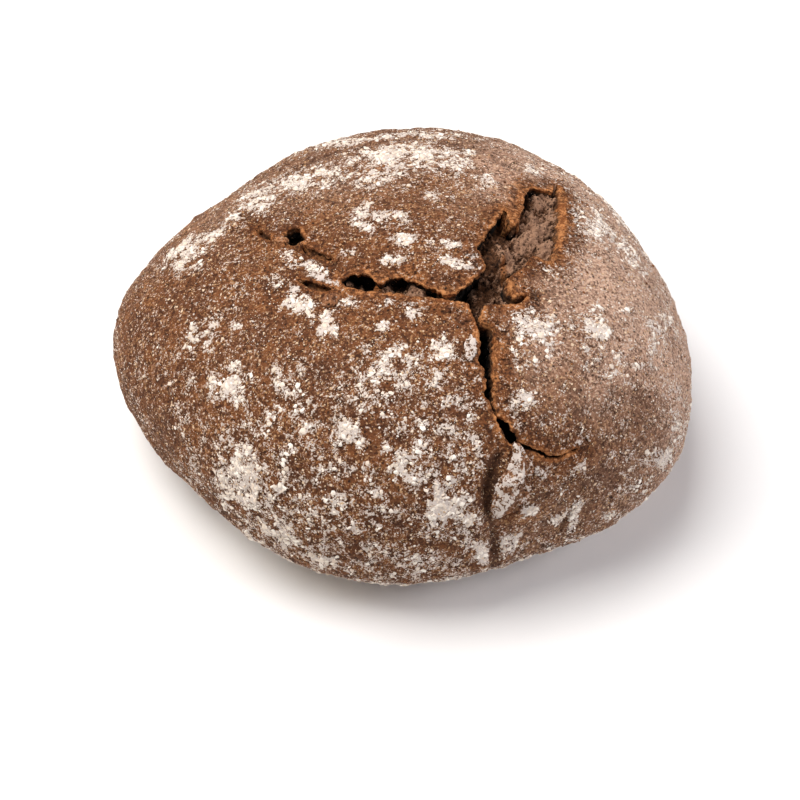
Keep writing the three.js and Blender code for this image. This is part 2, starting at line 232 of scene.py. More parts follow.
# Outlines of what is open, clockwise from above. Each row: east, north, wall depth, undercut (how far
# the wall goes in under the crust; below zero it comes out into the opening), height of the rolled lip.
# Ragged is how far the edge strays, reach how far the crust round it is torn, dive its depth, in mm.
openings = dict(
    tear=dict(ragged=0.42, reach=6.0, dive=14.0, rows=(
        (-10.0, -10.5, 4, 0.6, 0.1), (-8.7, -9.3, 9, 2.4, 0.2), (-6.6, -9.2, 12, 3.4, 0.2),
        (-4.6, -9.5, 12, 3.0, 0.2), (-3.2, -11.2, 12, 2.4, 0.2), (-1.6, -10.8, 12, 3.0, 0.2),
        (0.4, -10.0, 12, 3.4, 0.2), (2.0, -11.3, 12, 3.0, 0.2), (4.6, -12.5, 10, 2.0, 0.2),
        (7.5, -14.1, 8, 0.6, 0.1), (9.7, -14.8, 9, 0.8, 0.1), (12.2, -12.0, 12, 2.6, 0.1),
        (14.7, -8.2, 11, 2.6, 0.2), (14.5, -5.6, 11, 2.4, 0.2), (13.7, -3.4, 11, 2.2, 0.2),
        (15.5, -0.5, 9, 1.6, 0.2), (18.5, 3.9, 8, 1.4, 0.2), (20.7, 8.4, 6, 1.0, 0.2),
        (21.9, 6.0, 6, 0.8, 0.1), (22.8, 4.4, 6, 0.8, 0.1), (24.0, 6.7, 6, 1.0, 0.1),
        (25.5, 13.0, 6, 1.4, 0.2), (26.5, 16.8, 6, 1.6, 0.2), (28.4, 19.8, 6, 2.0, 0.2),
        (31.4, 19.9, 6, 2.2, 0.1), (33.4, 21.0, 6, 1.4, 0.1), (34.7, 24.6, 5, 0.2, 0.2),
        (35.9, 22.6, 6, -1.8, 0.2), (35.8, 17.7, 7, -2.8, 0.3), (35.5, 12.2, 7, -3.0, 0.3),
        (34.6, 7.0, 7, -3.0, 0.3), (33.0, 2.5, 7, -2.6, 0.3), (31.3, -1.4, 6, -1.6, 0.2),
        (29.4, -4.1, 6, -0.8, 0.2), (27.4, -5.0, 6, -0.4, 0.2), (25.1, -4.6, 7, -0.4, 0.2),
        (23.2, -6.5, 8, -0.4, 0.2), (19.7, -10.0, 9, -0.8, 0.3), (19.4, -12.3, 9, -1.0, 0.3),
        (21.0, -14.3, 8, -0.4, 0.2), (22.9, -14.2, 6, 0.6, 0.1), (21.6, -15.9, 9, 0.2, 0.1),
        (19.0, -16.8, 12, 0.2, 0.2), (15.4, -17.4, 13, 0.2, 0.2), (15.0, -20.6, 13, -0.6, 0.2),
        (17.2, -23.0, 13, -1.2, 0.2), (17.9, -26.2, 13, -1.3, 0.2), (18.2, -30.5, 13, -1.2, 0.2),
        (18.6, -36.0, 12, -0.9, 0.2), (18.7, -40.5, 10, 0.0, 0.2), (19.8, -44.0, 8, 0.6, 0.2),
        (21.9, -45.8, 8, 1.2, 0.2), (23.3, -47.8, 8, 1.6, 0.2), (25.4, -50.4, 7, 2.2, 0.2),
        (28.7, -51.8, 7, 2.8, 0.3), (31.8, -52.6, 7, 3.2, 0.3), (34.8, -53.1, 6, 3.0, 0.3),
        (37.2, -51.8, 3, 1.6, 0.2), (39.8, -50.4, 1, 0.2, 0.1), (37.2, -52.4, 2, -0.4, 0.4),
        (34.9, -54.3, 4, -0.6, 0.5), (32.2, -54.1, 5, -0.4, 0.4), (28.1, -52.5, 6, -0.2, 0.2),
        (24.4, -51.5, 6, 0.2, 0.1), (21.7, -48.8, 8, 0.6, 0.2), (19.2, -44.0, 9, 0.8, 0.2),
        (17.8, -41.0, 11, 1.2, 0.2), (16.9, -39.0, 12, 1.4, 0.2), (17.0, -36.6, 12, 1.5, 0.2),
        (16.5, -33.4, 13, 1.6, 0.2), (15.4, -30.9, 13, 1.6, 0.2), (15.2, -26.7, 13, 1.6, 0.2),
        (14.5, -23.1, 13, 1.4, 0.2), (13.3, -19.4, 13, 1.0, 0.1), (12.0, -16.6, 13, 0.4, 0.1),
        (8.8, -16.0, 12, -1.4, 0.1), (3.4, -15.0, 12, -2.4, 0.1), (0.9, -14.4, 12, -2.6, 0.1),
        (-4.0, -13.0, 12, -2.0, 0.1), (-8.3, -12.1, 8, -1.0, 0.1))),
    hole=dict(ragged=0.35, reach=2.6, dive=8.0, rows=(
        (-20.6, 3.4, 6, 0.6, 0.3), (-19.6, 5.2, 8, 1.2, 0.4), (-18.0, 5.4, 8, 1.2, 0.4),
        (-16.9, 3.6, 8, 0.8, 0.4), (-16.0, 1.5, 7, 0.6, 0.3), (-18.0, 1.1, 7, 0.0, 0.2),
        (-19.8, 1.7, 7, 0.0, 0.2))),
    slitAbove=dict(ragged=0.4, reach=2.0, dive=2.6, rows=(
        (-16.6, 0.3, 1, 0.2, 0.0), (-14.4, -1.2, 2, 0.5, 0.1), (-12.2, -3.3, 2, 0.5, 0.1),
        (-10.8, -4.6, 1, 0.2, 0.0), (-13.0, -3.5, 2, -0.2, 0.0), (-15.2, -1.6, 2, -0.2, 0.0))),
    slitBelow=dict(ragged=0.4, reach=2.2, dive=3.4, rows=(
        (-18.0, -8.4, 1, 0.2, 0.0), (-15.6, -9.9, 3, 0.8, 0.2), (-13.4, -11.3, 3, 1.0, 0.2),
        (-11.4, -12.0, 2, 0.4, 0.1), (-12.8, -12.6, 3, 0.0, 0.0), (-14.6, -12.2, 3, -0.4, 0.0),
        (-16.8, -10.6, 2, -0.2, 0.0))),
    grooveLeft=dict(ragged=0.4, reach=2.2, dive=2.6, rows=(
        (-28.2, 9.6, 1, 0.2, 0.0), (-26.0, 7.4, 2, 0.6, 0.1), (-23.8, 4.6, 2, 0.4, 0.1),
        (-22.8, 3.2, 1, 0.2, 0.0), (-25.0, 5.0, 2, -0.2, 0.0), (-27.2, 7.6, 2, -0.2, 0.0))),
)


tornEdge = dict(spacing=0.4, jags=((1.2, 3.1, 3), (0.7, 1.6, 5), (0.45, 0.9, 7)))


# A closed outline on the crust, torn in and out by noise. Besides its rows it has, at each sample,
# the crust point, the outward direction and the way off into the crust.
def tornOutline(rows, ragged, **rest):
    line = evenly(through(rows, closed=True), tornEdge["spacing"], closed=True)
    for passes in range(2):
        east, north = line[:, 0], line[:, 1]
        point, out = crustPlace(east, north)
        along = unit(np.roll(point, -1, 0) - np.roll(point, 1, 0))
        away = unit(np.cross(out, along))
        if passes == 0:
            jag = ragged * mixed(point, *tornEdge["jags"])
            line[:, 0], line[:, 1] = shiftPlace(east, north, away * jag[:, None])
    return dict(east=line[:, 0], north=line[:, 1], depth=line[:, 2], under=line[:, 3],
                roll=line[:, 4], point=point, out=out, away=away)


outlines = {name: tornOutline(**opening) for name, opening in openings.items()}
print("openings outlined")


# Signed distance to the nearest opening, below zero inside, with that opening's reach (a small hole
# disturbs less crust round it than the big tear) and how far the crust dives in it.
def openingDistance(points, east, north):
    distance = np.full(len(points), 99.0)
    reach = np.full(len(points), 6.0)
    dive = np.zeros(len(points))
    for name, outline in outlines.items():
        chosen = placesNear(east, north, outline["east"], outline["north"])
        if not len(chosen):
            continue
        found, _ = nearest(points[chosen], outline["point"])
        line = np.stack([outline["east"], outline["north"]], 1)
        found = np.where(inside(east[chosen], north[chosen], line), -found, found)
        closer = found < distance[chosen]
        distance[chosen[closer]] = found[closer]
        reach[chosen[closer]] = openings[name]["reach"]
        dive[chosen[closer]] = openings[name]["dive"]
    return distance, reach, dive


relief = dict(
    lumps=(0.9, 24, 2), dimples=(0.75, 8.5, 2), pebbles=(0.50, 3.2, 3),  # height, size, layers
    pits=(0.9, 4.4), pitRare=0.42, hollow=0.5, flourThick=0.30, strand=0.45,
    creaseRough=((0.42, 2.4, 12), (0.42, 5, 13)), creaseWander=((0.6, 2.6, 41), (0.4, 1.2, 42)),
)
# Creases that only dent the crust. Each row: east, north, half width in mm, depth in mm.
creases = dict(
    back=((20, 32.2, 1.2, 1.6), (15, 34.4, 1.3, 2.0), (8.5, 37, 1.6, 2.6), (1.5, 39.4, 1.6, 2.6),
          (-7, 37.6, 1.5, 2.4), (-16, 35.6, 1.4, 2.0), (-24, 32.6, 1.2, 1.4), (-30, 28.6, 0.9, 0.5)),
    pit=((20.2, 32, 1.4, 1.4), (22.4, 29.8, 3.0, 3.4), (25.4, 27.6, 1.6, 1.6)),
    front=((22.8, -75, 1.0, 1.4), (24.2, -80, 1.1, 1.8), (26.6, -88, 1.5, 2.4), (30, -98, 1.6, 2.0),
           (34, -108, 1.2, 0.6)),
    leftOfFlake=((22.4, -52, 1.1, 1.2), (20.8, -57, 1.9, 3.2), (20.2, -63.5, 2.4, 4.2),
                 (21.2, -70, 2.0, 3.2), (22.8, -75.5, 1.2, 1.4)),
    besideFlake=((26.2, -56, 1.0, 1.6), (27.8, -61, 1.8, 3.2), (28.2, -68, 1.8, 3.4), (26.4, -75, 1.2, 1.6)),
    lowRight=((46, -71, 0.7, 0.8), (46.6, -76, 1.0, 2.6), (47.6, -80, 0.8, 1.0)),
    tearTail=((38, -51.6, 1.1, 1.4), (42, -49.8, 1.0, 1.2), (46, -47.8, 0.9, 0.8), (50, -46.2, 0.8, 0.3)),
    flank=((68, -21, 0.8, 0.5), (75, -24.4, 1.6, 2.0), (81, -29, 1.4, 1.6), (86, -35, 0.8, 0.5)),
    groove=((-10.4, -8.0, 0.9, 1.0), (-11.6, -5.6, 1.2, 1.6), (-16.6, -0.4, 1.2, 1.8), (-19, 2, 1.3, 1.6)),
    leftTrail=((-27.6, 9.0, 1.2, 1.4), (-29.8, 12.4, 1.2, 1.2), (-31.6, 15.4, 1.6, 1.6),
               (-33, 18, 0.9, 0.4)),
)
# Fine folds where the crust was pulled: east, north, reach in mm, spacing in mm, bearing, height.
folds = ((70, -43, 16, 1.9, -40, 0.26), (64, -56, 15, 2.1, -52, 0.24), (76, -22, 12, 1.8, -15, 0.20),
         (57, -2, 14, 2.2, 80, 0.12), (0, 0, 13, 2.6, -14, 0.16), (-4, 12, 12, 3.0, -10, 0.12),
         (44, -66, 13, 1.8, -50, 0.20), (-3, 41, 18, 2.4, 0, 0.20), (-30, 56, 24, 4.2, 24, 0.30),
         (8, 62, 26, 4.6, 0, 0.32), (48, 50, 24, 4.0, -30, 0.30))
# Dusted flour: east, north, half length and half width in mm, bearing of the length, strength.
flourPatches = (
    (-43, -60, 12, 8, 0, 1.15), (-36, -63, 6, 5, 0, 0.8), (10, -68, 7.5, 7, 0, 1.2),
    (17, -74, 5, 3, -5, 1.0), (-39, -34, 9, 6, -10, 0.8), (-41, -18, 7, 5, -90, 0.85),
    (-33, -17, 6, 3, -90, 0.65), (-30, -25, 3.5, 2.5, 0, 0.55), (-45, 8, 10, 7, -60, 1.0),
    (-38, 10, 5, 4, 0, 0.8), (-34, 15, 7, 4.5, -60, 0.75), (-15, -6, 11, 2.5, -40, 1.0),
    (-19, -15, 9, 3, -55, 1.05), (-13, -21, 5, 3, -85, 0.95), (-8, -16, 3.5, 3.5, 0, 0.9),
    (3, -19, 2.5, 2.5, 0, 0.9), (-2, -17, 2, 1.5, 0, 0.8), (-31, 22, 12, 6, -75, 0.9),
    (0, 27, 16, 13, -10, 0.88), (-6, 20, 12, 8, -20, 0.72), (-20, 25, 16, 11, -15, 0.78),
    (11, 26, 10, 7, -85, 0.85), (17, 18, 7, 5, -90, 0.7), (7, 11, 3.5, 3.5, 0, 0.75),
    (-6, 3, 5, 2.5, -35, 0.85), (-3, 6, 10, 3.5, -30, 0.8), (1, -1, 4, 2.5, -20, 0.9),
    (4, -3, 3, 2, 0, 0.8), (9, -3, 2, 1.5, 0, 1.0), (-8, -3, 2.5, 1.5, 0, 1.0),
    (-1, -6, 3.5, 1.5, -15, 0.95), (4, -8, 1.5, 1.5, 0, 0.8), (8, -7, 2, 1.5, 0, 1.0),
    (11, -7, 3.5, 2, 0, 1.0), (-3, -22, 2, 1.5, 0, 0.8), (0, -29, 10, 4, -5, 0.75),
    (-6, -27, 3.5, 3.5, 0, 0.6), (8, -28, 3, 3, 0, 1.0), (7, -34, 5, 2.5, 85, 0.6),
    (-24, -34, 5, 2.5, -35, 0.8), (-28, -43, 8, 3.5, -5, 0.5), (-19, -47, 7, 4, 0, 0.6),
    (-10, -47, 5, 5, 0, 0.8), (-2, -54, 5, 4, 0, 0.8), (2, -59, 7, 4, 0, 0.8), (7, -60, 4, 3.5, 0, 0.75),
    (-8, -56, 9, 6, -5, 0.58), (-18, -63, 10, 9, 0, 0.62), (-38, -78, 8, 7, 0, 0.85),
    (-23, -70, 9, 6, 0, 0.62), (-16, -75, 11, 6, 0, 0.58), (-11, -84, 10, 4, 0, 0.5),
    (25, -23, 8, 6, 5, 0.9), (38, -20, 4, 3.5, 0, 1.2), (38, -16, 4, 3.5, 0, 0.65),
    (25, -30, 7, 3.5, 5, 0.65), (25, -41, 5, 4, 0, 0.85), (49, -28, 3.5, 2, 10, 0.65),
    (54, 8, 11, 8, 75, 0.75), (45, 12, 17, 7, 80, 0.72), (38, 10, 12, 2.5, 85, 0.6),
    (38, 23, 5, 4, 0, 0.6), (29, 29, 5, 3, 90, 0.8), (59, 33, 14, 13, 0, 0.68),
    (69, -47, 6, 3.5, 10, 1.1), (73, -38, 10, 5, 15, 0.6), (48, -72, 5, 2.4, -50, 1.3),
    (33, -72, 4, 2.4, -65, 1.15), (44, -75, 3.5, 1.8, -55, 1.15), (29, -85, 5, 5, 0, 1.1),
    (21, -86, 5, 3.5, -5, 1.0), (4, -45, 4, 4, 0, 0.6), (16, -51, 5, 3, 90, 0.65),
    (11, -51, 4, 3, 0, 0.5), (-24, -88, 18, 4, -5, 0.6), (10, -92, 17, 3.5, 0, 0.5),
    (4, 42, 20, 7, 5, 0.72), (-13, 45, 15, 10, -50, 0.68), (56, -18, 13, 6, 80, 0.55),
    (64, -9, 7, 6, 0, 0.6), (-40, 70, 22, 14, 20, 0.7), (20, 78, 26, 12, -10, 0.6),
    (60, 62, 20, 10, 60, 0.6), (-84, 20, 14, 10, 80, 0.5), (-78, -30, 10, 14, 0, 0.35),
    (84, 14, 16, 8, 90, 0.45),
)


# Dents along every crease: depth x a bell of the distance over the half width, the deepest winning.
def creaseDepth(points, east, north):
    depth = np.zeros(len(points))
    for rows in creases.values():
        line = evenly(through(rows), 0.5)
        chosen = placesNear(east, north, line[:, 0], line[:, 1])
        if not len(chosen):
            continue
        samples, _ = crustPlace(line[:, 0], line[:, 1])
        wander = mixed(points[chosen], *relief["creaseWander"])
        distance, which = nearest(points[chosen], samples)
        share = np.abs(distance + wander) / line[which, 2]
        depth[chosen] = np.maximum(depth[chosen], line[which, 3] * np.exp(-share ** 1.6))
    return depth


# Height of fine parallel folds: a sine across them, bent by noise, under a bell round each place.
def foldHeight(points):
    height = np.zeros(len(points))
    bend = fractal(points, 11, 2, 51)
    for east, north, reach, spacing, bearing, tall in folds:
        middle, _, short, _ = layAt(east, north, bearing)
        bell = np.exp(-((points - middle) ** 2).sum(-1) / reach ** 2)
        height += tall * bell * np.sin(2 * np.pi * ((points - middle) @ short / spacing + 0.9 * bend))
    return height


dusting = dict(
    overall=0.22, east=0.08, front=0.17, rim=0.20, low=0.08, uneven=0.18,  # how much flour, and where
    patch=0.92, fall=0.46, thick=10,  # strength, steepness and depth of a patch's bell
    bends=((2.6, 8, 61), (1.3, 3, 64)), breaks=((0.46, 5.2, 69), (0.60, 2.1, 70)),
)


# Flour on the crust, 0 to 1.3: the strongest bell of the patches, its place bent by noise so that no
# edge is round, over a thin general dusting, all of it broken up, more so where there is more.
def flourAmount(points):
    look = dusting
    amount = np.zeros(len(points))
    bent = points + sum(np.stack([noise(points, size, seed + k) for k in range(3)], -1) * strength
                        for strength, size, seed in look["bends"])
    for east, north, longHalf, wideHalf, bearing, strength in flourPatches:
        middle, long, short, out = layAt(east, north, bearing)
        offset = bent - middle
        flat = (offset @ long / longHalf) ** 2 + (offset @ short / wideHalf) ** 2
        bell = look["patch"] * strength * np.exp(-flat * look["fall"] - (offset @ out / look["thick"]) ** 2)
        amount = np.maximum(amount, bell)
    x, y, z = points.T
    front = smooth(-48, -68, y) * smooth(48, 12, x) * smooth(-95, -60, x)
    rim = smooth(26, 10, z) * smooth(-20, -60, y)
    thin = look["overall"] + look["east"] * smooth(10, 70, x) + look["front"] * front
    thin = thin + look["rim"] * rim + look["low"] * smooth(30, 12, z)
    amount = np.maximum(amount, thin + look["uneven"] * fractal(points, 17, 2, 67))
    broken = mixed(points, *look["breaks"])
    return np.clip(amount + broken * (0.34 + 0.62 * smooth(0.15, 0.6, amount)), 0, 1.3)


# Skin drawn out in strands beside the far end of the wide tear.
stretched = dict(line=((20.0, 30.0), (22.4, 24.0), (23.6, 17.0), (23.2, 9.0), (22.8, 4.6)),
                 width=4.6, strand=1.5)


# How far the skin is drawn out, a bell of the distance to that line, and the waves of its strands.
def stretchedSkin(points):
    line = evenly(through(stretched["line"]), 0.5)
    samples, _ = crustPlace(line[:, 0], line[:, 1])
    distance, _ = nearest(points, samples)
    amount = np.exp(-(distance / stretched["width"]) ** 2.4)
    drawn, size = points * [1, 0.22, 0.5], stretched["strand"]
    return amount, mixed(drawn, (1, size, 43), (0.5, size / 2, 44))


# How orange the crust is near a torn edge: a bell of the distance over the reach, patchy.
def tornGlow(points, distance, reach):
    bell = np.exp(-(np.maximum(distance, 0) / (1.15 * reach)) ** 2)
    return bell * np.clip(0.40 + 0.45 * fractal(points, 6, 2, 46), 0, 0.8)


# Height of the crust over the smooth dome, and what its material needs to know at each point.
def crustRelief(points, east, north):
    crease = creaseDepth(points, east, north)
    fold = foldHeight(points)
    pulled, strands = stretchedSkin(points)
    flour = (flourAmount(points) + 1.1 * fold) * np.exp(-crease / 0.9) * (1 - 0.55 * pulled)
    pitDeep, pitSize = relief["pits"]
    pits = np.maximum(noise(points, pitSize, 11) - relief["pitRare"], 0) * pitDeep
    # shallow hollows towards the front, which also darken the colour there as painted shade
    hollows = 0.6 * smooth(-40, -80, points[:, 1]) * smooth(0, 0.6, noise(points, 5.5, 47))
    rough = np.minimum(crease, 1.5) * mixed(points, *relief["creaseRough"])
    height = fold - crease - pits - relief["hollow"] * hollows + rough
    height = height + relief["flourThick"] * smooth(0.35, 0.95, flour) + relief["strand"] * pulled * strands
    for seed, name in enumerate(("lumps", "dimples", "pebbles")):
        strength, size, layers = relief[name]
        height = height + strength * fractal(points, size, layers, 21 + seed)
    # a pale haze, partly flour dust and partly painted sheen: strongest on the east side, less at the very
    # front, a little more towards the back
    dustSheenAmount = 0.80 * smooth(8, 78, points[:, 0]) * (0.22 + 0.78 * smooth(-78, -38, points[:, 1]))
    dustSheenAmount += 0.02 + 0.17 * smooth(-15, 35, points[:, 1])
    # creases, pits and hollows also darken the colour, as painted shade
    values = dict(flour=flour, dentShade=np.clip(crease / 1.6 + pits * 1.5 + hollows, 0, 1),
                  lip=pulled * np.clip(0.42 + 0.5 * strands, 0, 0.8),
                  dustAndSheen=np.clip(dustSheenAmount * (1 + 0.8 * fractal(points, 20, 2, 45)), 0, 0.8))
    return height, values


# Puts arrays into a mesh in metres: points, quads, triangles, point values and a map of its own.
def makePiece(name, points, quads, triangles, material, values, cornerUv, smoothShade=True):
    mesh = bpy.data.meshes.new(name)
    mesh.vertices.add(len(points))
    mesh.vertices.foreach_set("co", (points * mm).astype(np.float32).ravel())
    corners = np.concatenate([quads.ravel(), triangles.ravel()])
    mesh.loops.add(len(corners))
    mesh.loops.foreach_set("vertex_index", corners.astype(np.int32))
    sizes = np.concatenate([np.full(len(quads), 4), np.full(len(triangles), 3)])
    starts = np.concatenate([[0], np.cumsum(sizes)[:-1]])
    mesh.polygons.add(len(sizes))
    mesh.polygons.foreach_set("loop_start", starts.astype(np.int32))
    mesh.polygons.foreach_set("loop_total", sizes.astype(np.int32))
    mesh.update(calc_edges=True)
    mesh.validate()
    mesh.polygons.foreach_set("use_smooth", np.full(len(mesh.polygons), smoothShade))
    for key, data in values.items():
        layer = mesh.attributes.new(key, "FLOAT", "POINT")
        layer.data.foreach_set("value", data.astype(np.float32))
    layer = mesh.uv_layers.new(name="OFBake")
    layer.data.foreach_set("uv", cornerUv.astype(np.float32).ravel())
    mesh.materials.append(material)
    piece = bpy.data.objects.new(name, mesh)
    bpy.context.scene.collection.objects.link(piece)
    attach(piece, "root")
    print(name, len(quads) * 2 + len(triangles), "triangles")
    return piece


# Quads of a sheet of rows x columns, wound round or not, and its corner map: the two parameters,
# shrunk into a cell of the map. A long sheet is cut along its rows into bands, one above another.
def sheetFaces(rows, columns, wrapRows=False, wrapColumns=False, cell=(0, 0, 1, 1), bands=1):
    high, wide = (rows if wrapRows else rows - 1), (columns if wrapColumns else columns - 1)
    i, j = (g.ravel() for g in np.meshgrid(np.arange(high), np.arange(wide), indexing="ij"))
    ni, nj = (i + 1) % rows, (j + 1) % columns
    quads = np.stack([i * columns + j, ni * columns + j, ni * columns + nj, i * columns + nj], 1)
    s = np.stack([i, i + 1, i + 1, i], 1) / high
    t = np.stack([j, j, j + 1, j + 1], 1) / wide
    band = (i * bands // high)[:, None]
    s = np.clip(s * bands - band, 0, 1)
    t = (band + 0.01 + 0.98 * t) / bands
    u0, v0, u1, v1 = cell
    margin = 0.004
    uv = np.stack([u0 + margin + s * (u1 - u0 - 2 * margin), v0 + margin + t * (v1 - v0 - 2 * margin)], -1)
    return quads, uv


# A shader socket with arithmetic: + - * add Math nodes, step a smooth ramp from 0 to 1.
class Value:
    def __init__(self, graph, socket):
        self.graph = graph
        self.socket = socket

    def math(self, operation, *others):
        return self.graph.node("ShaderNodeMath", dict(operation=operation), dict(enumerate((self, *others))))

    def __add__(self, other):
        return self.math("ADD", other)

    __radd__ = __add__

    def __sub__(self, other):
        return self.math("SUBTRACT", other)

    def __rsub__(self, other):
        return self.math("MULTIPLY_ADD", -1.0, other)

    def __mul__(self, other):
        return self.math("MULTIPLY", other)

    __rmul__ = __mul__

    def step(self, low, high):
        settings = dict(interpolation_type="SMOOTHSTEP", clamp=True)
        inputs = {"Value": self, "From Min": low, "From Max": high}
        return self.graph.node("ShaderNodeMapRange", settings, inputs)


# One material's node tree. `node` adds a node: settings first, then values or links by socket.
class Graph:
    def __init__(self, name):
        self.material = bpy.data.materials.new(name)
        self.material.use_nodes = True
        self.tree = self.material.node_tree
        self.tree.nodes.clear()

    def node(self, kind, settings=None, inputs=None, out=0):
        made = self.tree.nodes.new(kind)
        for key, setting in (settings or {}).items():
            setattr(made, key, setting)
        for key, given in (inputs or {}).items():
            if isinstance(given, Value):
                self.tree.links.new(given.socket, made.inputs[key])
            else:
                made.inputs[key].default_value = given
        return Value(self, made.outputs[out]) if len(made.outputs) else None

    def attribute(self, name):
        return self.node("ShaderNodeAttribute", dict(attribute_name=name), out="Fac")

    # A pattern of a size in millimetres, read from the object's own coordinates.
    def pattern(self, kind, size, out=0, **inputs):
        at = self.node("ShaderNodeTexCoord", out="Object")
        return self.node(kind, None, {"Vector": at, "Scale": 1 / (size * mm), **inputs}, out)

    def noise(self, size, detail=2.0, rough=0.6):
        return self.pattern("ShaderNodeTexNoise", size, Detail=detail, Roughness=rough)

    def cells(self, size, out="Distance"):
        return self.pattern("ShaderNodeTexVoronoi", size, out)

    def blend(self, share, first, second):
        return self.node("ShaderNodeMix", dict(data_type="RGBA"), {0: share, 6: first, 7: second}, out=2)

    def finish(self, inputs):
        shader = self.node("ShaderNodeBsdfPrincipled", None, inputs)
        self.node("ShaderNodeOutputMaterial", None, {"Surface": shader})
        return self.material

    # Dull bread: its bump stands as high as the reach, in millimetres.
    def finishBread(self, colour, roughness, height, strength, reach):
        bump = self.node("ShaderNodeBump", None,
                         {"Strength": strength, "Distance": reach * mm, "Height": height})
        return self.finish({"Base Color": colour, "Roughness": roughness, "IOR": 1.45,
                            "Specular IOR Level": 0.25, "Normal": bump})


# sRGB given, 0 to 255, turned into the linear colour a shader wants.
def colour(red, green, blue):
    share = np.array([red, green, blue]) / 255
    linear = np.where(share <= 0.04045, share / 12.92, ((share + 0.055) / 1.055) ** 2.4)
    return (*linear.tolist(), 1.0)


# Colours of the crust, its torn edge and the bread behind it, and how rough and bumpy it is. The pale
# haze colour is partly flour dust and partly painted sheen; pore and hollow are painted shade.
crustLook = dict(
    dark=colour(50, 26, 13), base=colour(93, 52, 26), warm=colour(117, 68, 33),
    speck=colour(186, 146, 106), speckSmall=colour(170, 127, 86), poreShade=colour(30, 17, 10),
    dustAndSheen=colour(215, 180, 157), flour=colour(211, 199, 191), flourThin=colour(175, 142, 115),
    lip=colour(184, 124, 76), lipDeep=colour(118, 68, 34),
    # hollow: painted shade, the black deep in an opening
    crumb=colour(104, 69, 43), crumbDark=colour(44, 26, 15), hollow=colour(12, 7, 4),
    rough=0.82, bump=0.8, bumpReach=0.6,
)


# The crust. Point values: flour (dusting), dustAndSheen (a haze of it, partly painted sheen), dentShade
# (creases and pits, also painted shade in them), lip (band along a torn edge), torn (0 skin, 1 bread inside),
# deep (painted shade, 0 at the lip, 1 far down).
def crustMaterial():
    look = crustLook
    g = Graph("rye_crust")
    flour, dentShade, lip, torn, deep, dustAndSheen = (g.attribute(key)
                                          for key in ("flour", "dentShade", "lip", "torn", "deep", "dustAndSheen"))
    wide = g.noise(14, 3)
    middle = g.noise(4.2, 3, 0.65)
    fine = g.noise(1.3, 3, 0.7)
    grain = g.noise(0.62, 2, 0.6)
    meal = g.noise(0.85, 1, 0.5)
    skin = g.blend((wide * 0.5 + middle * 0.5).step(0.38, 0.64), look["base"], look["warm"])
    skin = g.blend((fine * 0.6 + grain * 0.25 + middle * 0.15).step(0.53, 0.40) * 0.9, skin, look["dark"])
    # painted shade: darker in creases, pits and hollows
    skin = g.blend(dentShade * 0.7, skin, look["dark"])
    edge = g.blend((fine + grain * 0.5 + (middle - 0.5) * 0.8).step(0.64, 0.88), look["lipDeep"], look["lip"])
    skin = g.blend((lip + (fine - 0.5) * 0.9).step(0.22, 0.78), skin, edge)
    # meal in the crust: pale grains, more of them and whiter in the haze of dust and painted sheen; fewer in
    # the creases
    patchy = (fine - 0.5) * 2.4 + (grain - 0.5) * 1.2 + middle + 0.06
    skin = g.blend(dustAndSheen * patchy, skin, look["dustAndSheen"])
    pale = g.blend(dustAndSheen.step(0.1, 0.5), look["speckSmall"], look["dustAndSheen"])
    lot = meal + dustAndSheen * 0.13 - dentShade * 0.06 - lip * 0.10 + (fine - 0.5) * 0.30 + (wide - 0.5) * 0.24
    skin = g.blend(lot.step(0.60, 0.70) * 0.72, skin, pale)
    cellShade = g.node("ShaderNodeSeparateColor", None, {"Color": g.cells(1.6, "Color")})
    specks = (cellShade * 0.36 + (grain - 0.5) * 0.7 - lip * 0.15 - g.cells(1.6)).step(0.02, 0.12)
    skin = g.blend(specks * 0.85, skin, look["speck"])
    # painted shade in small pores: dark spots where the bump dips
    pores = g.cells(2.1).step(0.27, 0.13) * middle.step(0.43, 0.54)
    skin = g.blend(pores * 0.85, skin, look["poreShade"])
    crumb = g.blend((fine * 0.6 + middle * 0.4).step(0.38, 0.60), look["crumbDark"], look["crumb"])
    crumb = g.blend((lip + (fine - 0.5) * 0.8).step(0.2, 0.8), crumb, edge)
    # painted shade: the torn bread goes black with depth into an opening
    crumb = g.blend((deep + (middle - 0.5) * 0.5).step(0.25, 0.85), crumb, look["hollow"])
    shade = g.blend(torn.step(0.3, 0.7), skin, crumb)
    # flour lies in grains: the amount sets how many of the fine noise's peaks turn white
    dust = flour * (1 - torn.step(0.1, 0.5))
    granular = dust + (fine - 0.5) * 2.3 + (grain - 0.5) * 1.7
    thin = granular.step(0.38, 0.60) * 0.5
    thick = granular.step(0.58, 0.76)
    shade = g.blend(thin, shade, look["flourThin"])
    shade = g.blend(thick * 0.96, shade, look["flour"])
    height = fine * 0.55 + grain * 0.40 + specks * 0.18 + thick * 0.30 - pores * 0.5
    return g.finishBread(shade, thick * 0.12 + look["rough"], height, look["bump"], look["bumpReach"])


# Colours of torn bread; hollow is painted shade, the black deep in an opening.
crumbLook = dict(
    light=colour(158, 122, 98), middle=colour(104, 68, 44), dark=colour(42, 25, 15),
    hollow=colour(13, 8, 5), amber=colour(150, 90, 40), rough=0.78, bump=1.0, bumpReach=0.9,
)


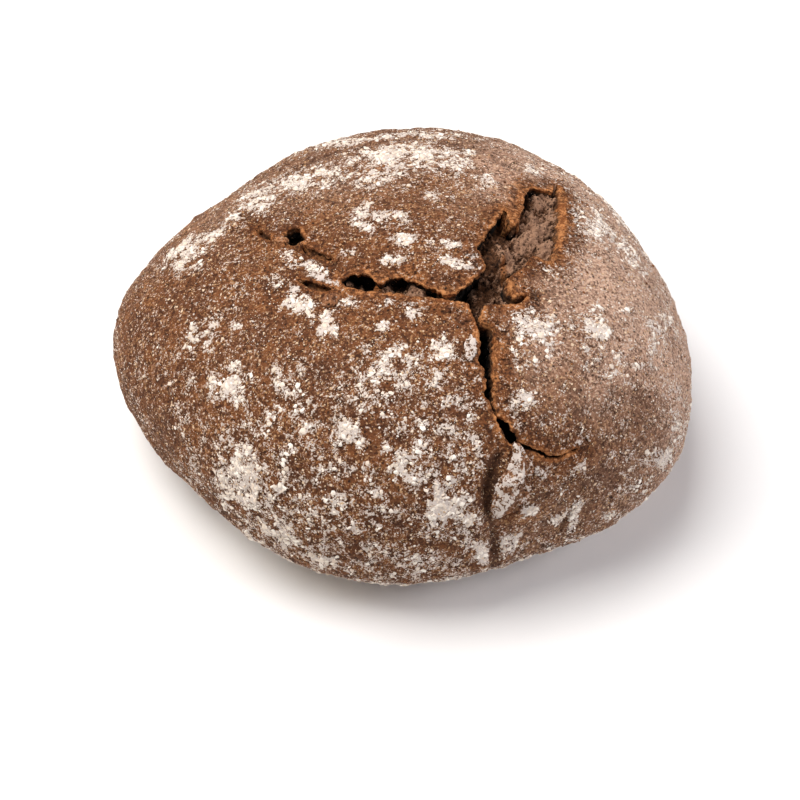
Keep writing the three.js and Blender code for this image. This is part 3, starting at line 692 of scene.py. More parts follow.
# Torn bread. Point values: light (0 dark, 1 the pale mound, with painted light on the crests), deep
# (painted shade, towards the black), amber (glassy orange where it meets the crust).
def crumbMaterial():
    look = crumbLook
    g = Graph("rye_crumb")
    light, deep, amber = (g.attribute(key) for key in ("light", "deep", "amber"))
    middle = g.noise(2.6, 4, 0.7)
    fine = g.noise(0.9, 3, 0.7)
    grain = g.noise(0.5, 1, 0.5)
    shade = g.blend((middle * 0.5 + fine * 0.5).step(0.38, 0.58), look["dark"], look["middle"])
    pale = light + (middle - 0.5) * 1.4 + (fine - 0.5) * 1.8 + (grain - 0.5) * 1.2
    shade = g.blend(pale.step(0.40, 0.95), shade, look["light"])
    shade = g.blend((amber + (middle - 0.5) * 0.8 + (fine - 0.5)).step(0.3, 0.8) * 0.8, shade, look["amber"])
    # painted shade in the crumb's pores
    pores = g.cells(1.5).step(0.34, 0.16) * fine.step(0.42, 0.52)
    shade = g.blend(pores * 0.85, shade, look["dark"])
    # painted shade: black towards the deepest parts
    shade = g.blend((deep + (middle - 0.5) * 0.4).step(0.3, 0.9), shade, look["hollow"])
    height = middle * 0.5 + fine * 0.6 + grain * 0.3 - pores * 0.6
    return g.finishBread(shade, fine * 0.2 + look["rough"], height, look["bump"], look["bumpReach"])


# Loose things: a colour that wanders between two by the item's own shade value.
def looseMaterial(name, first, second, size, rough):
    g = Graph(name)
    fine = g.noise(size, 2)
    shade = g.blend((g.attribute("shade") * 0.8 + fine * 0.2).step(0.05, 0.95), first, second)
    return g.finishBread(shade, fine * 0.1 + rough, fine, 0.5, 0.15)


crustSkin = crustMaterial()
crumbInside = crumbMaterial()
print("materials made")


crustGrid = dict(
    steps=300, footTilt=145.8, footRings=5, footArch=0.35,
    denseTo=103, sparse=0.62,  # the grid is fine down to this tilt, and coarser by this below it
    map=0.43, footMap=0.88, footMapHigh=0.11,  # half width of the crust's map, place of the foot's
    # flour on the base, and its share of the haze of dust and painted sheen
    footFlour=0.42, footDustAndSheen=0.3,
)


# How far the crust drops where it is open: full depth inside, starting under the rolled lips.
def diveDepth(distance, reach, dive, points):
    share = distance / reach + 0.16 * noise(points, 1.7, 71)
    rough = 1 + 0.25 * fractal(points, 3, 2, 72)
    return dive * rough * smooth(0.74, 0.34, share), smooth(0.70, 0.50, share)


# Square grid pressed into a disc ring by ring (the larger of |u|, |v| is the ring, the other the
# place round it), the disc wrapped over the dome out to the foot, then rings across the base.
def buildCrust():
    look = crustGrid
    n = look["steps"]
    u, v = np.meshgrid(np.linspace(-1, 1, n + 1), np.linspace(-1, 1, n + 1), indexing="ij")
    ring = np.maximum(np.abs(u), np.abs(v))
    safe = np.maximum(ring, 1e-9)
    quarter = np.where(np.abs(u) >= np.abs(v), v / safe * np.sign(u), 0)
    bearing = np.where(np.abs(u) >= np.abs(v),
                       np.where(u >= 0, 0, np.pi) + np.pi / 4 * quarter,
                       np.where(v >= 0, 0.5, 1.5) * np.pi - np.pi / 4 * u / safe * np.sign(v))
    tilts = np.linspace(0, look["footTilt"], 600)
    pace = np.linalg.norm(np.diff(domePoint(tilts, 0 * tilts), axis=0), axis=1)
    pace = pace * np.where(tilts[1:] > look["denseTo"], look["sparse"], 1)
    walked = np.concatenate([[0], np.cumsum(pace)])
    tilt = np.interp(ring * walked[-1], walked, tilts)
    east, north = (tilt * np.cos(bearing)).ravel(), (tilt * np.sin(bearing)).ravel()
    base, out = crustPlace(east, north)
    distance, reach, dive = openingDistance(base, east, north)
    height, values = crustRelief(base, east, north)
    drop, torn = diveDepth(distance, reach, dive, base)
    values["lip"] = np.maximum(values["lip"], tornGlow(base, distance, reach))
    values["dustAndSheen"] = values["dustAndSheen"] * smooth(1, 12, distance)
    foot = smooth(0, 7, base[:, 2])
    points = base + out * (height * foot - drop)[:, None]
    points[:, 2] = np.maximum(points[:, 2], 0)

    index = np.arange((n + 1) ** 2).reshape(n + 1, n + 1)
    quads = np.stack([index[:-1, :-1], index[1:, :-1], index[1:, 1:], index[:-1, 1:]], -1).reshape(-1, 4)
    squareUv = np.stack([u, v], -1).reshape(-1, 2) * look["map"] + look["map"] + 0.005
    rim = np.concatenate([index[:-1, 0], index[-1, :-1], index[:0:-1, -1], index[0, :0:-1]])
    rings, count = look["footRings"], len(rim)
    inner = []
    for k in range(1, rings + 1):
        share = 1 - (k / (rings + 1)) ** 1.3
        row = points[rim] * [share, share, 0]
        row[:, 2] = look["footArch"] * (1 - share ** 2) * (1 + 0.5 * noise(row, 12, 75))
        inner.append(row)
    allPoints = np.concatenate([points, *inner, [[0, 0, look["footArch"]]]])
    rows = np.stack([rim, *(len(points) + k * count + np.arange(count) for k in range(rings))])
    ahead = np.roll(rows, -1, 1)
    footQuads = np.stack([rows[:-1], rows[1:], ahead[1:], ahead[:-1]], -1).reshape(-1, 4)
    triangles = np.stack([rows[-1], np.full(count, len(allPoints) - 1), ahead[-1]], -1)

    # the foot's map: the turn runs across, the rings run up, the hub is at the top
    turn = np.arange(count) / count
    turns = np.stack([turn, turn, turn + 1 / count, turn + 1 / count], -1)
    levels = np.arange(rings)[:, None, None] + np.array([0, 1, 1, 0])
    footUv = np.stack(np.broadcast_arrays(turns, levels / (rings + 1)), -1).reshape(-1, 2)
    last = rings / (rings + 1)
    tipUv = np.stack(np.broadcast_arrays(turns[:, [0, 1, 3]], np.array([last, 1, last])), -1).reshape(-1, 2)
    footUv = np.concatenate([footUv, tipUv]) * [2 * look["map"], look["footMapHigh"]] + [0, look["footMap"]]
    # painted shade where the crust dives into an opening
    values.update(torn=torn, deep=np.clip(drop / 9, 0, 1))
    beneath = dict(flour=look["footFlour"], dustAndSheen=look["footDustAndSheen"])
    extra = np.zeros(len(allPoints) - len(points))
    pointValues = {key: np.concatenate([data, extra + beneath.get(key, 0)]) for key, data in values.items()}
    crust = makePiece("crust", allPoints, np.concatenate([quads, footQuads]), triangles, crustSkin,
                      pointValues, np.concatenate([squareUv[quads.ravel()], footUv]))
    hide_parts("rye_loaf")
    return dict(points=points, quads=quads, distance=distance, **values)


crustData = buildCrust()


lipShape = dict(
    outerRows=11, rimRows=5, rim=0.5, drop=0.6, wallStep=0.42, tuck=0.8, crumb=0.85, band=1.7, bands=4,
    crumbly=((0.34, 1.3, 79), (0.22, 0.8, 80)), wander=((1.1, 2.2, 81), (1.3, 8, 83)),
    # painted shade on the walls: how far down they turn black
    duskUnder=2.2, duskOpen=7.0,  # mm down to the black, under an overhang and elsewhere
)


crustKeys = "torn", "lip", "deep", "flour", "dentShade", "dustAndSheen"


# A closed strip carried round an opening: from under the crust up over the torn edge (a quarter
# round), down a wall that leans by its undercut, rough with torn crumb, and turned away at the foot.
def lipStrip(name, cell):
    shape, reach = lipShape, openings[name]["reach"]
    outline = outlines[name]
    away, out, edge = outline["away"], outline["out"], outline["point"]
    east, north, roll = outline["east"], outline["north"], outline["roll"]
    rows, rowValues = [], []

    def row(points, **values):
        rows.append(points)
        rowValues.append([values.get(key, 0) + np.zeros(len(edge)) for key in crustKeys])

    # fine bumps of the torn edge, which fade into the crust
    def crumbly(points):
        return mixed(points, *shape["crumbly"])

    band = shape["band"] * reach / 6 * np.maximum(0.1, 1 + mixed(edge, *shape["wander"]))
    strong = np.clip(0.62 + 0.75 * noise(edge, 6, 84), 0.15, 1) * min(1, reach / 4.4)
    for a in np.linspace(reach, shape["rim"], shape["outerRows"]):
        e, n = shiftPlace(east, north, away * a)
        base, up = crustPlace(e, n)
        height, skin = crustRelief(base, e, n)
        distance, _, _ = openingDistance(base, e, n)
        height = height + roll * smooth(2.6, 0.7, distance) - 0.7 * smooth(0.80, 1.0, distance / reach)
        height = height + crumbly(base) * smooth(2.4, 0.4, distance) - 9 * smooth(0.3, -0.6, distance)
        glow = np.maximum(tornGlow(base, distance, reach), strong * smooth(band, 0.2 * band, distance))
        skin["lip"] = np.maximum(skin["lip"], glow)
        skin["dustAndSheen"] = skin["dustAndSheen"] * smooth(1, 12, distance)
        skin["flour"] = skin["flour"] * smooth(0.2, 1.6, distance)
        row(base + up * (height + 0.04)[:, None], torn=smooth(0.0, -0.8, distance), **skin)
    edgeHeight, _ = crustRelief(edge, east, north)
    crest = edgeHeight + roll + crumbly(edge)
    inward = 0.30 * noise(edge, 1.2, 85)
    for k in range(1, shape["rimRows"] + 1):
        angle = k / shape["rimRows"] * np.pi / 2
        a = shape["rim"] * (1 - math.sin(angle)) + inward * math.sin(angle)
        fall = shape["drop"] * (1 - math.cos(angle))
        point = edge + away * a[:, None] + out * (crest - fall)[:, None]
        row(point, torn=0.5 * k / shape["rimRows"], lip=strong)
    depth, under = outline["depth"], outline["under"]
    walls = max(8, int(depth.max() / shape["wallStep"]))
    # the walls darken downwards as painted shade, sooner under an overhang
    dusk = np.where(under > 1.0, shape["duskUnder"], shape["duskOpen"])
    for k in range(1, walls + 1):
        t = k / walls
        down = depth * t
        swing = inward + under * np.where(under > 0, t ** 0.55, t ** 0.38)
        point = edge + away * swing[:, None] + out * (crest - shape["drop"] - down)[:, None]
        rough = shape["crumb"] * smooth(0, 0.12, t)
        push = rough * (1.5 * fractal(point, 3.6, 3, 87) + 0.5 * ridged(point, 1.6, 2, 89) - 0.2)
        sag = 0.45 * rough * fractal(point, 2.2, 2, 91)
        point = point - away * push[:, None] + out * sag[:, None]
        fade = smooth(np.where(under < -0.5, 4.0, 2.2), 0.2, down + 1.8 * noise(point, 2.6, 93))
        row(point, torn=1, lip=fade * (0.3 + 0.7 * strong), deep=np.clip((down - 0.8) / dusk, 0, 1))
    # the turned-away foot of the wall is in full painted shade
    row(rows[-1] + away * shape["tuck"] - out * 1.2, torn=1, deep=1)

    quads, uv = sheetFaces(len(edge), len(rows), wrapRows=True, wrapColumns=True, cell=cell,
                           bands=shape["bands"] if name == "tear" else 1)
    values = dict(zip(crustKeys, np.stack(rowValues, -1).reshape(len(crustKeys), -1)))
    # an outline runs clockwise, so its sheet faces inwards and is turned over
    return np.stack(rows, 1).reshape(-1, 3), quads[:, ::-1], uv[:, ::-1], values


# Several sheets as one piece. A tube, wound round in its columns, gets its two end rings closed by
# fans from their first points.
def joinSheets(name, sheets, material, columns=0):
    start = 0
    points, quads, fans, quadUv, fanUv, values = [], [], [np.empty((0, 3), int)], [], [], {}
    for sheetPoints, sheetQuads, sheetUv, sheetValues in sheets:
        points.append(sheetPoints)
        quads.append(sheetQuads + start)
        quadUv.append(sheetUv.reshape(-1, 2))
        if columns:
            k = np.arange(1, columns - 1)
            last = len(sheetPoints) - columns
            fans += [start + np.stack([0 * k, k, k + 1], 1), start + last + np.stack([0 * k, k + 1, k], 1)]
            for corner in (sheetUv.reshape(-1, 2)[0], sheetUv.reshape(-1, 2)[-3]):
                fanUv.append(np.broadcast_to(corner, (3 * len(k), 2)))
        for key, data in sheetValues.items():
            values.setdefault(key, []).append(data)
        start += len(sheetPoints)
    values = {key: np.concatenate(data) for key, data in values.items()}
    makePiece(name, np.concatenate(points), np.concatenate(quads), np.concatenate(fans), material, values,
              np.concatenate(quadUv + fanUv))


lipCells = dict(tear=(0, 0, 1, 0.76))
smaller = [name for name in openings if name != "tear"]
for place, name in enumerate(smaller):
    lipCells[name] = (place / len(smaller), 0.78, (place + 1) / len(smaller), 1)
joinSheets("torn_lips", [lipStrip(name, cell) for name, cell in lipCells.items()], crustSkin)


# Beds of crumb. Rows across the tear: one lip, the other lip (east, north), depth of the crumb there,
# how pale it is. Mounds and pits: east, north, reach in mm, height in mm.
crumbBeds = dict(
    wide=dict(
        along=240, cell=(0, 0, 1, 0.66),
        rows=(((11.8, -17.0), (15.6, -18.2), 10.5, 0.1), ((12.6, -13.6), (20.0, -16.6), 9.0, 0.2),
              ((14.6, -8.4), (20.4, -11.6), 8.4, 0.25), ((14.0, -4.4), (23.6, -6.0), 8.0, 0.35),
              ((15.5, -0.5), (30.6, -2.6), 6.4, 0.6), ((18.5, 4.0), (34.0, 5.0), 5.6, 0.8),
              ((21.0, 9.0), (35.4, 11.5), 5.6, 0.5), ((24.0, 13.4), (35.8, 17.0), 5.2, 0.45),
              ((27.0, 18.8), (35.6, 21.6), 4.0, 0.4), ((29.6, 23.4), (35.2, 26.0), 3.4, 0.2),
              ((31.0, 26.4), (35.0, 28.6), 3.2, 0.1)),
        mounds=((28.0, 2.6, 6.5, 2.4), (30.4, 9.0, 4.0, 1.2), (16.4, -2.0, 3.4, 3.0),
                (19.2, -3.4, 2.0, 2.6), (19.4, -7.0, 2.0, 3.0), (26.6, 12.0, 3.6, 1.2),
                (22.4, 5.0, 2.8, -3.6), (26.8, 16.0, 2.4, -2.8),
                (33.0, 22.0, 2.2, -3.4), (16.6, -7.6, 2.8, -2.6), (23.6, -1.0, 3.2, -1.6),
                (12.0, -14.6, 3.2, -3.0), (21.4, -8.6, 2.4, -2.0), (29.2, 14.4, 2.0, -1.8)),
        strands=((19.2, -5.4),)),
    west=dict(
        along=110, cell=(0, 0.68, 1, 1),
        rows=(((-9.6, -9.9), (-9.0, -11.9), 3.5, 0.1), ((-6.6, -9.4), (-6.2, -12.4), 5.5, 0.1),
              ((-3.2, -11.0), (-3.4, -13.2), 4.5, 0.3), ((0.4, -10.0), (0.8, -14.4), 6.0, 0.1),
              ((4.6, -12.4), (4.4, -15.2), 4.5, 0.3), ((8.0, -14.3), (8.6, -16.0), 5.5, 0.1)),
        mounds=((-3.6, -12.0, 1.8, 2.6), (3.6, -14.0, 2.4, 2.0), (-6.8, -10.4, 2.4, -3.4),
                (0.2, -11.0, 2.6, -3.6), (-1.0, -14.0, 1.6, 1.6)),
        strands=((-3.6, -11.8),)),
)
crumbShape = dict(across=110, under=14, spread=0.16, thick=2.4, strand=(1.6, 7.0, 6.0))


# Bed of crumb: lines from lip to lip, hollowed by a sine of the share across and roughened by lumps,
# crests and pores; its underside is the same sheet lower down, and both ends close to a point.
def crumbSheet(bed):
    look = crumbShape
    table = np.array([[*left, *right, depth, pale] for left, right, depth, pale in bed["rows"]])
    line = through(table, 40)
    line = line[np.linspace(0, len(line) - 1, bed["along"]).astype(int)]
    upper = np.linspace(-look["spread"], 1 + look["spread"], look["across"])
    lower = np.linspace(1 + look["spread"], -look["spread"], look["under"] + 2)[1:-1]
    share = np.concatenate([upper, lower])[None, ::-1]
    isTop = np.concatenate([np.ones(len(upper)), np.zeros(len(lower))])[None, ::-1]
    east = line[:, 0:1] + share * (line[:, 2:3] - line[:, 0:1])
    north = line[:, 1:2] + share * (line[:, 3:4] - line[:, 1:2])
    base, out = crustPlace(east.ravel(), north.ravel())
    shape = east.shape
    s, top, depth, pale = (np.broadcast_to(part, shape).ravel()
                           for part in (share, isTop, line[:, 4:5], line[:, 5:6]))
    hollow = depth * (1 + 0.16 * np.sin(np.pi * np.clip(s, 0, 1))) + 1.6 * smooth(0.35, -0.05, s)
    height = -hollow
    for e, n, reach, tall in bed["mounds"]:
        height = height + tall * np.exp(-((base - layAt(e, n)[0]) ** 2).sum(-1) / reach ** 2)
    sample = base + out * height[:, None]
    rough = (3.0 * fractal(sample, 6.0, 2, 101) + 1.9 * ridged(sample, 3.8, 2, 103)
             + 1.5 * fractal(sample, 1.8, 2, 105) - 2.4 * np.maximum(noise(sample, 2.8, 107) - 0.15, 0)
             + 0.55 * ridged(sample, 1.1, 1, 108) - 0.9 * np.maximum(noise(sample, 1.3, 110) - 0.2, 0))
    fromStart, fromEnd = np.linspace(0, 1, shape[0]), np.linspace(1, 0, shape[0])
    ends = np.repeat(smooth(0, 0.03, fromStart) * smooth(0, 0.03, fromEnd), shape[1])
    height = height + rough * top - look["thick"] * (1 - top) * ends
    points = (base + out * height[:, None]).reshape(*shape, 3)
    middle = points.mean(1, keepdims=True)
    shrink = np.minimum(1, fromStart / 0.02) * np.minimum(1, fromEnd / 0.02)
    points = middle + (points - middle) * np.maximum(shrink, 0.002)[:, None, None]
    quads, uv = sheetFaces(shape[0], shape[1], wrapColumns=True, cell=bed["cell"])
    # pale where the row is pale and away from the first lip, plus painted light on the crests of the
    # roughness
    light = pale * smooth(0.10, 0.55, s) + 0.35 * fractal(sample, 5, 2, 109) + 0.30 * rough - 0.12
    # painted shade: dark near the first lip, deep down, in pits sunk below the bed, and over the whole
    # underside
    sunk = -height / np.maximum(depth, 1)
    low = smooth(9.4, 13.0, -height)
    deep = np.clip(smooth(0.10, -0.1, s) * 0.7 + low + 0.6 * smooth(1.3, 1.9, sunk), 0, 1) * top + (1 - top)
    amber = smooth(0.84, 1.0, s) * 0.9 + 0.25 * smooth(0.2, 0.0, s)
    for e, n in bed["strands"]:
        amber = amber + 0.8 * np.exp(-(((base - layAt(e, n)[0]) / look["strand"]) ** 2).sum(-1))
    return points.reshape(-1, 3), quads, uv, dict(light=np.clip(light, 0, 1), deep=deep, amber=amber)


joinSheets("torn_crumb", [crumbSheet(bed) for bed in crumbBeds.values()], crumbInside,
           crumbShape["across"] + crumbShape["under"])


flake = dict(
    # east, north, half width, height
    spine=((24.0, -50.4, 0.7, 0.8), (25.4, -53.6, 2.4, 2.4), (26.2, -57.6, 4.6, 3.6),
           (25.6, -62.2, 5.7, 4.0), (24.6, -67.0, 5.0, 3.4), (23.8, -71.0, 3.0, 2.2),
           (23.6, -74.4, 0.7, 0.7)),
    # section: sideways in half widths, up in heights, flour, edge colour
    section=((-0.40, -1.6, 0, 0.1), (-0.80, -0.2, 0.1, 0.1), (-1.0, 0.16, 0.5, 0.2), (-0.86, 0.42, 0.68, 0),
             (-0.42, 0.74, 0.74, 0), (0.00, 0.98, 0.74, 0), (0.16, 1.02, 0.72, 0), (0.32, 0.90, 0.36, 0.1),
             (0.56, 0.60, 0.30, 0.3), (0.76, 0.60, 0.50, 0.5), (0.92, 0.62, 0.60, 0.7),
             (1.06, 0.34, 0.45, 0.8),
             (0.90, -0.5, 0, 0.5), (0.45, -1.6, 0, 0.1)),
    along=120, around=84, foot=2.2,  # how deep one height goes below the crust, in mm
)


# A petal: the section, smoothed, carried along the spine and scaled by its half width and height.
def buildFlake():
    line = evenly(through(flake["spine"]), 0.24)
    line = line[np.linspace(0, len(line) - 1, flake["along"]).astype(int)]
    section = through(flake["section"], 20)
    section = section[np.linspace(0, len(section) - 1, flake["around"]).astype(int)]
    base, out = crustPlace(line[:, 0], line[:, 1])
    right = unit(np.cross(out, unit(np.gradient(base, axis=0))))
    wide = line[:, 2] * (1 + mixed(base, (0.22, 5, 111), (0.10, 1.8, 112)))
    sideways, upwards, flour, lip = section.T[:, None]
    side = sideways * wide[:, None]
    up = upwards * np.where(upwards > 0, line[:, 3:4], flake["foot"])
    points = base[:, None] + right[:, None] * side[..., None] + out[:, None] * up[..., None]
    shape = side.shape
    flat = points.reshape(-1, 3)
    above = smooth(-0.6, 0.3, np.broadcast_to(upwards, shape).ravel())
    bulge = 0.55 * fractal(flat, 4.5, 2, 113) + 0.32 * fractal(flat, 1.5, 2, 115)
    facing = right[:, None] * sideways[..., None] + out[:, None] * upwards[..., None]
    flat = flat + unit(facing.reshape(-1, 3)) * (bulge * above)[:, None]
    step = np.arange(shape[0])
    ends = np.minimum(1, np.minimum(step, step[::-1]) / 4)
    middle = flat.reshape(points.shape).mean(1, keepdims=True)
    points = middle + (flat.reshape(points.shape) - middle) * np.maximum(ends, 0.01)[:, None, None]
    quads, uv = sheetFaces(*shape, wrapColumns=True)
    flour = np.broadcast_to(flour, shape).ravel() + mixed(flat, (0.5, 2.8, 117), (0.4, 1.2, 118))
    lip = np.broadcast_to(lip, shape).ravel()
    # the part below the crust is darkened as painted shade
    values = dict(flour=np.clip(flour, 0, 1.2), lip=lip * 0.8, dentShade=(1 - above) * 0.6, dustAndSheen=0 * lip + 0.1)
    joinSheets("flake", [(points.reshape(-1, 3), quads, uv, values)], crustSkin, shape[1])


buildFlake()

# Rounded bits: east, north, height of the middle over the crust, radii along, across and up,
# bearing of the long one, flour, how orange.
bits = (
    (-21.0, 2.6, -0.7, 2.9, 2.2, 1.8, 150, 0.2, 0.6), (-12.3, -15.0, -0.6, 3.6, 2.8, 2.0, 20, 0.1, 0.5),
    (21.2, -12.0, -1.9, 4.2, 2.4, 1.7, 80, 0.1, 0.5), (13.6, -27.6, -0.2, 4.6, 2.2, 1.1, 88, 0.8, 0.2),
    (31.6, -58.0, -0.5, 3.6, 1.8, 1.1, -38, 0.7, 0.2),
)


# Pebbles: unit balls from two angles, pushed in and out by noise, stretched and laid on the crust.
def buildBits():
    sheets = []
    high, wide = 40, 64
    up = np.linspace(0.02, np.pi - 0.02, high)[:, None]
    turn = np.linspace(0, 2 * np.pi, wide, endpoint=False)[None, :]
    ball = np.stack([np.sin(up) * np.cos(turn), np.sin(up) * np.sin(turn), np.cos(up) + 0 * turn], -1)
    ball[0], ball[-1] = ball[0].mean(0), ball[-1].mean(0)
    for k, (east, north, over, *radii, bearing, flour, orange) in enumerate(bits):
        middle, long, short, out = layAt(east, north, bearing)
        bumpy = 1 + 0.5 * fractal(ball * radii, 2.6, 4, 121 + 7 * k, 0.6)[..., None]
        points = middle + out * over + ball * radii * bumpy @ np.stack([long, short, out])
        points = points.reshape(-1, 3)
        quads, uv = sheetFaces(high, wide, wrapColumns=True, cell=(k / len(bits), 0, (k + 1) / len(bits), 1))
        top = smooth(-0.2, 0.5, ball[..., 2]).ravel()
        amount = flour * top + 0.4 * noise(points, 1.6, 125)
        # the underside is darkened as painted shade
        sheets.append((points, quads, uv, dict(flour=np.clip(amount, 0, 1.2), lip=0 * top + orange * 0.8,
                                               dentShade=(1 - top) * 0.5, dustAndSheen=0 * top + 0.1)))
    joinSheets("nodules", sheets, crustSkin, wide)


buildBits()

# Eight-sided grain: its points and faces.
grain = (np.array([(1, 0, 0), (-1, 0, 0), (0, 1, 0), (0, -1, 0), (0, 0, 1), (0, 0, -1)], float),
         np.array([(0, 2, 4), (2, 1, 4), (1, 3, 4), (3, 0, 4), (2, 0, 5), (1, 2, 5), (3, 1, 5), (0, 3, 5)]))


# Twenty-sided ball: rings of five above and below the middle, a point at each end.
def makeBall():
    turn = np.arange(5) * 2 * np.pi / 5
    wide, tall = 2 / math.sqrt(5), 1 / math.sqrt(5)
    above, below = (np.stack([wide * np.cos(at), wide * np.sin(at), level + 0 * at], 1)
                    for at, level in ((turn, tall), (turn + np.pi / 5, -tall)))
    points = np.concatenate([[(0, 0, 1)], above, below, [(0, 0, -1)]])
    k = np.arange(5)
    n = (k + 1) % 5
    faces = np.concatenate([np.stack([0 * k, 1 + k, 1 + n], 1), np.stack([1 + k, 6 + k, 1 + n], 1),
                            np.stack([1 + n, 6 + k, 6 + n], 1), np.stack([0 * k + 11, 6 + n, 6 + k], 1)])
    return points, faces


# Random places on the crust, more where the weight is high: a face by its area x weight, then a
# point in one of its two triangles.
def scatterPlaces(count, weight, random):
    points, quads = crustData["points"], crustData["quads"]
    corners = points[quads]
    diagonals = np.cross(corners[:, 2] - corners[:, 0], corners[:, 3] - corners[:, 1])
    area = np.linalg.norm(diagonals, axis=1) / 2
    heavy = area * np.maximum(weight[quads].mean(1), 0)
    chosen = random.choice(len(quads), count, p=heavy / heavy.sum())
    a, b = random.random((2, count, 1))
    c = corners[chosen]
    place = (c[:, 0] * (1 - a) + c[:, 1] * a) * (1 - b) + (c[:, 3] * (1 - a) + c[:, 2] * a) * b
    return place, unit(diagonals[chosen])


scattered = dict(
    small=2.2,  # above 1, small ones are commoner than big ones
    jitter=0.22, stretch=0.35, map=0.32,
    lowest=0.05,  # mm over the tray
)


# Many copies of one small shape as one mesh: each turned at random about the crust's outward
# direction, tipped, stretched, sunk a little and given its own shade and its own cell of the map.
def scatter(name, shape, material, weight, seed, count, sizes, flat, sunk, tip):
    random = np.random.default_rng(seed)
    place, out = scatterPlaces(count, weight, random)
    across = unit(np.cross(out, random.normal(size=(count, 3))))
    out = unit(out + across * (tip * random.normal(size=(count, 1))))
    across = unit(across - out * (across * out).sum(-1, keepdims=True))
    along = np.cross(out, across)
    half = (sizes[0] + (sizes[1] - sizes[0]) * random.random((count, 1)) ** scattered["small"]) / 2
    points, faces = shape
    jitter = 1 + scattered["jitter"] * random.normal(size=(count, len(points)))
    local = points[None] * np.clip(jitter, 0.5, 1.5)[..., None]
    grow = 1 + scattered["stretch"] * random.normal(size=(count, 2)).clip(-1.6, 1.6)
    local = local * np.concatenate([half * grow, half * flat], 1)[:, None]
    middle = place + out * half * flat * (1 - 2 * sunk)
    world = (middle[:, None] + local[..., :1] * across[:, None] + local[..., 1:2] * along[:, None]
             + local[..., 2:] * out[:, None])
    world = world[world[..., 2].min(1) > scattered["lowest"]]
    left = len(world)
    triangles = (faces[None] + np.arange(left)[:, None, None] * len(points)).reshape(-1, 3)
    grid = int(math.ceil(math.sqrt(left)))
    cell = np.stack([np.arange(left) % grid, np.arange(left) // grid], 1)
    corner = points[faces.ravel()][:, :2] * scattered["map"] + 0.5
    uv = ((cell[:, None] + corner[None]) / grid).reshape(-1, 2)
    shade = np.repeat(random.random(left), len(points))
    makePiece(name, world.reshape(-1, 3), np.empty((0, 4), int), triangles, material, dict(shade=shade), uv,
              smoothShade=False)


crustTorn, crustFlour, crustDent = (crustData[key] for key in ("torn", "flour", "dentShade"))
fromEdge = crustData["distance"]
onSkin = (1 - crustTorn) * smooth(3.2, 4.6, fromEdge) * smooth(1.0, 4.0, crustData["points"][:, 2])
floured = onSkin * smooth(0.42, 0.95, crustFlour) * (1 - 0.7 * crustDent)
dusted = onSkin * smooth(0.10, 0.75, crustFlour) * (1 - 0.6 * crustDent)
nearTear = onSkin * np.exp(-((fromEdge - 4.5) / 4) ** 2)

ball = makeBall()
flourLoose = looseMaterial("rye_flour", colour(222, 205, 188), colour(246, 238, 228), 1.2, 0.85)
branLoose = looseMaterial("rye_bran", colour(188, 156, 124), colour(222, 198, 170), 1.0, 0.75)
crumbLoose = looseMaterial("rye_crumbs", colour(86, 50, 28), colour(142, 92, 54), 1.2, 0.8)
# Shape, material and where, then: how many, least and greatest width in mm, height over width,
# share sunk in, how far tipped over.
loose = dict(
    flour_clumps=dict(shape=ball, material=flourLoose, weight=floured, seed=21,
                      count=9000, sizes=(0.45, 1.7), flat=0.5, sunk=0.42, tip=0.2),
    flour_grains=dict(shape=grain, material=flourLoose, weight=dusted + 0.04 * onSkin, seed=22,
                      count=22000, sizes=(0.25, 0.75), flat=0.7, sunk=0.25, tip=0.5),
    bran_flecks=dict(shape=grain, material=branLoose, weight=onSkin, seed=23,
                     count=12000, sizes=(0.35, 1.0), flat=0.22, sunk=0.3, tip=0.25),
    crust_crumbs=dict(shape=ball, material=crumbLoose, weight=nearTear + 0.04 * onSkin, seed=24,
                      count=900, sizes=(0.4, 1.2), flat=0.7, sunk=0.3, tip=0.5),
)
for name, look in loose.items():
    scatter(name, **look)


stage = dict(
    floorSize=6.0, floor=(0.93, 0.93, 0.93, 1), floorRough=0.9, floorShine=0.1,
    world=(1.0, 0.985, 0.99, 1), worldStrength=0.115, lampTarget=(0, 0, 0.04),
    lens=100.08, distance=0.80, elevation=47.0, target=(-0.0005, -0.0229, 0.030),
)
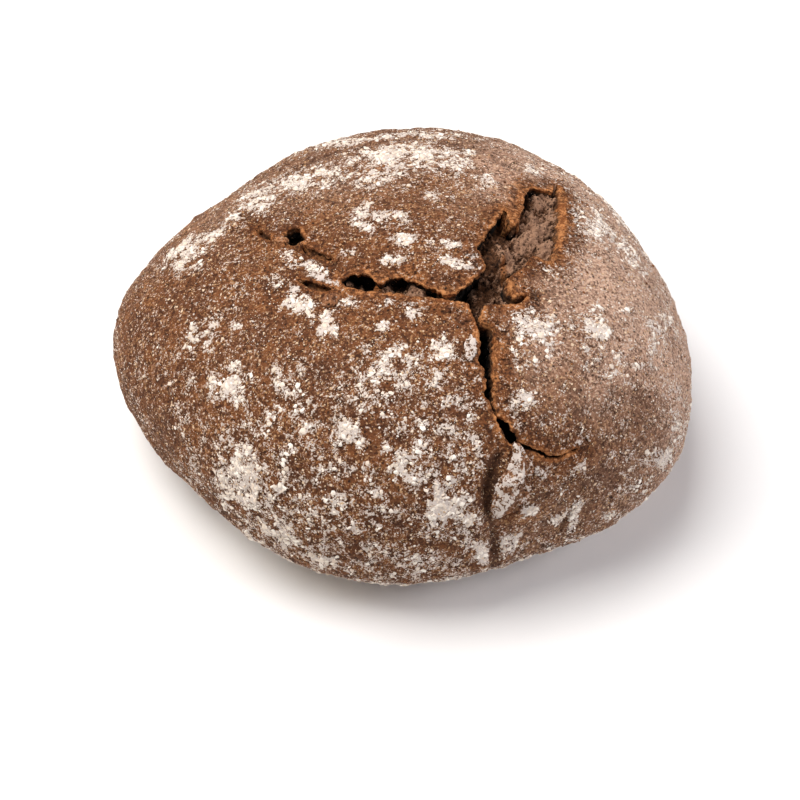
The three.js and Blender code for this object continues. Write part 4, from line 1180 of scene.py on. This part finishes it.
# Lamps: place in metres, side length, power in watts, colour.
lamps = dict(
    overhead=((-0.58, 0.13, 1.41), 1.3, 32.0, (1.0, 0.975, 0.95)),
    key=((-1.0, -0.25, 0.95), 0.6, 3.6, (1.0, 0.91, 0.80)),
    fill=((1.2, -0.34, 0.85), 0.8, 11.0, (0.97, 0.95, 1.0)),
)


# A lamp or camera linked to the scene at a place, turned so that it looks at the target.
def aimed(name, data, place, target):
    thing = bpy.data.objects.new(name, data)
    thing.location = place
    x, y, z = np.array(target) - np.array(place)
    thing.rotation_euler = (math.pi / 2 + math.atan2(z, math.hypot(x, y)), 0, math.atan2(-x, y))
    bpy.context.scene.collection.objects.link(thing)
    return thing


def buildStage():
    half = stage["floorSize"] / 2
    mesh = bpy.data.meshes.new("floor")
    corners = [(-half, -half, 0), (half, -half, 0), (half, half, 0), (-half, half, 0)]
    mesh.from_pydata(corners, [], [(0, 1, 2, 3)])
    mesh.materials.append(Graph("floor_white").finish({
        "Base Color": stage["floor"], "Roughness": stage["floorRough"],
        "Specular IOR Level": stage["floorShine"]}))
    floor = bpy.data.objects.new("floor", mesh)
    bpy.context.scene.collection.objects.link(floor)
    world = bpy.data.worlds.new("studio")
    world.use_nodes = True
    background = world.node_tree.nodes["Background"]
    background.inputs["Color"].default_value = stage["world"]
    background.inputs["Strength"].default_value = stage["worldStrength"]
    bpy.context.scene.world = world
    for name, (place, side, power, tint) in lamps.items():
        light = bpy.data.lights.new(name, "AREA")
        light.size, light.energy, light.color = side, power, tint
        aimed(name, light, place, stage["lampTarget"])
    lens = bpy.data.cameras.new("camera")
    lens.lens = stage["lens"]
    rise = math.radians(stage["elevation"])
    place = np.array(stage["target"]) + stage["distance"] * np.array([0, -math.cos(rise), math.sin(rise)])
    bpy.context.scene.camera = aimed("camera", lens, place, stage["target"])
    view = bpy.context.scene.view_settings
    view.view_transform, view.look, view.exposure, view.gamma = "Standard", "None", 0, 1


buildStage()
print("stage set")


# Brings the scene's transforms up to date.
bpy.context.view_layer.update()
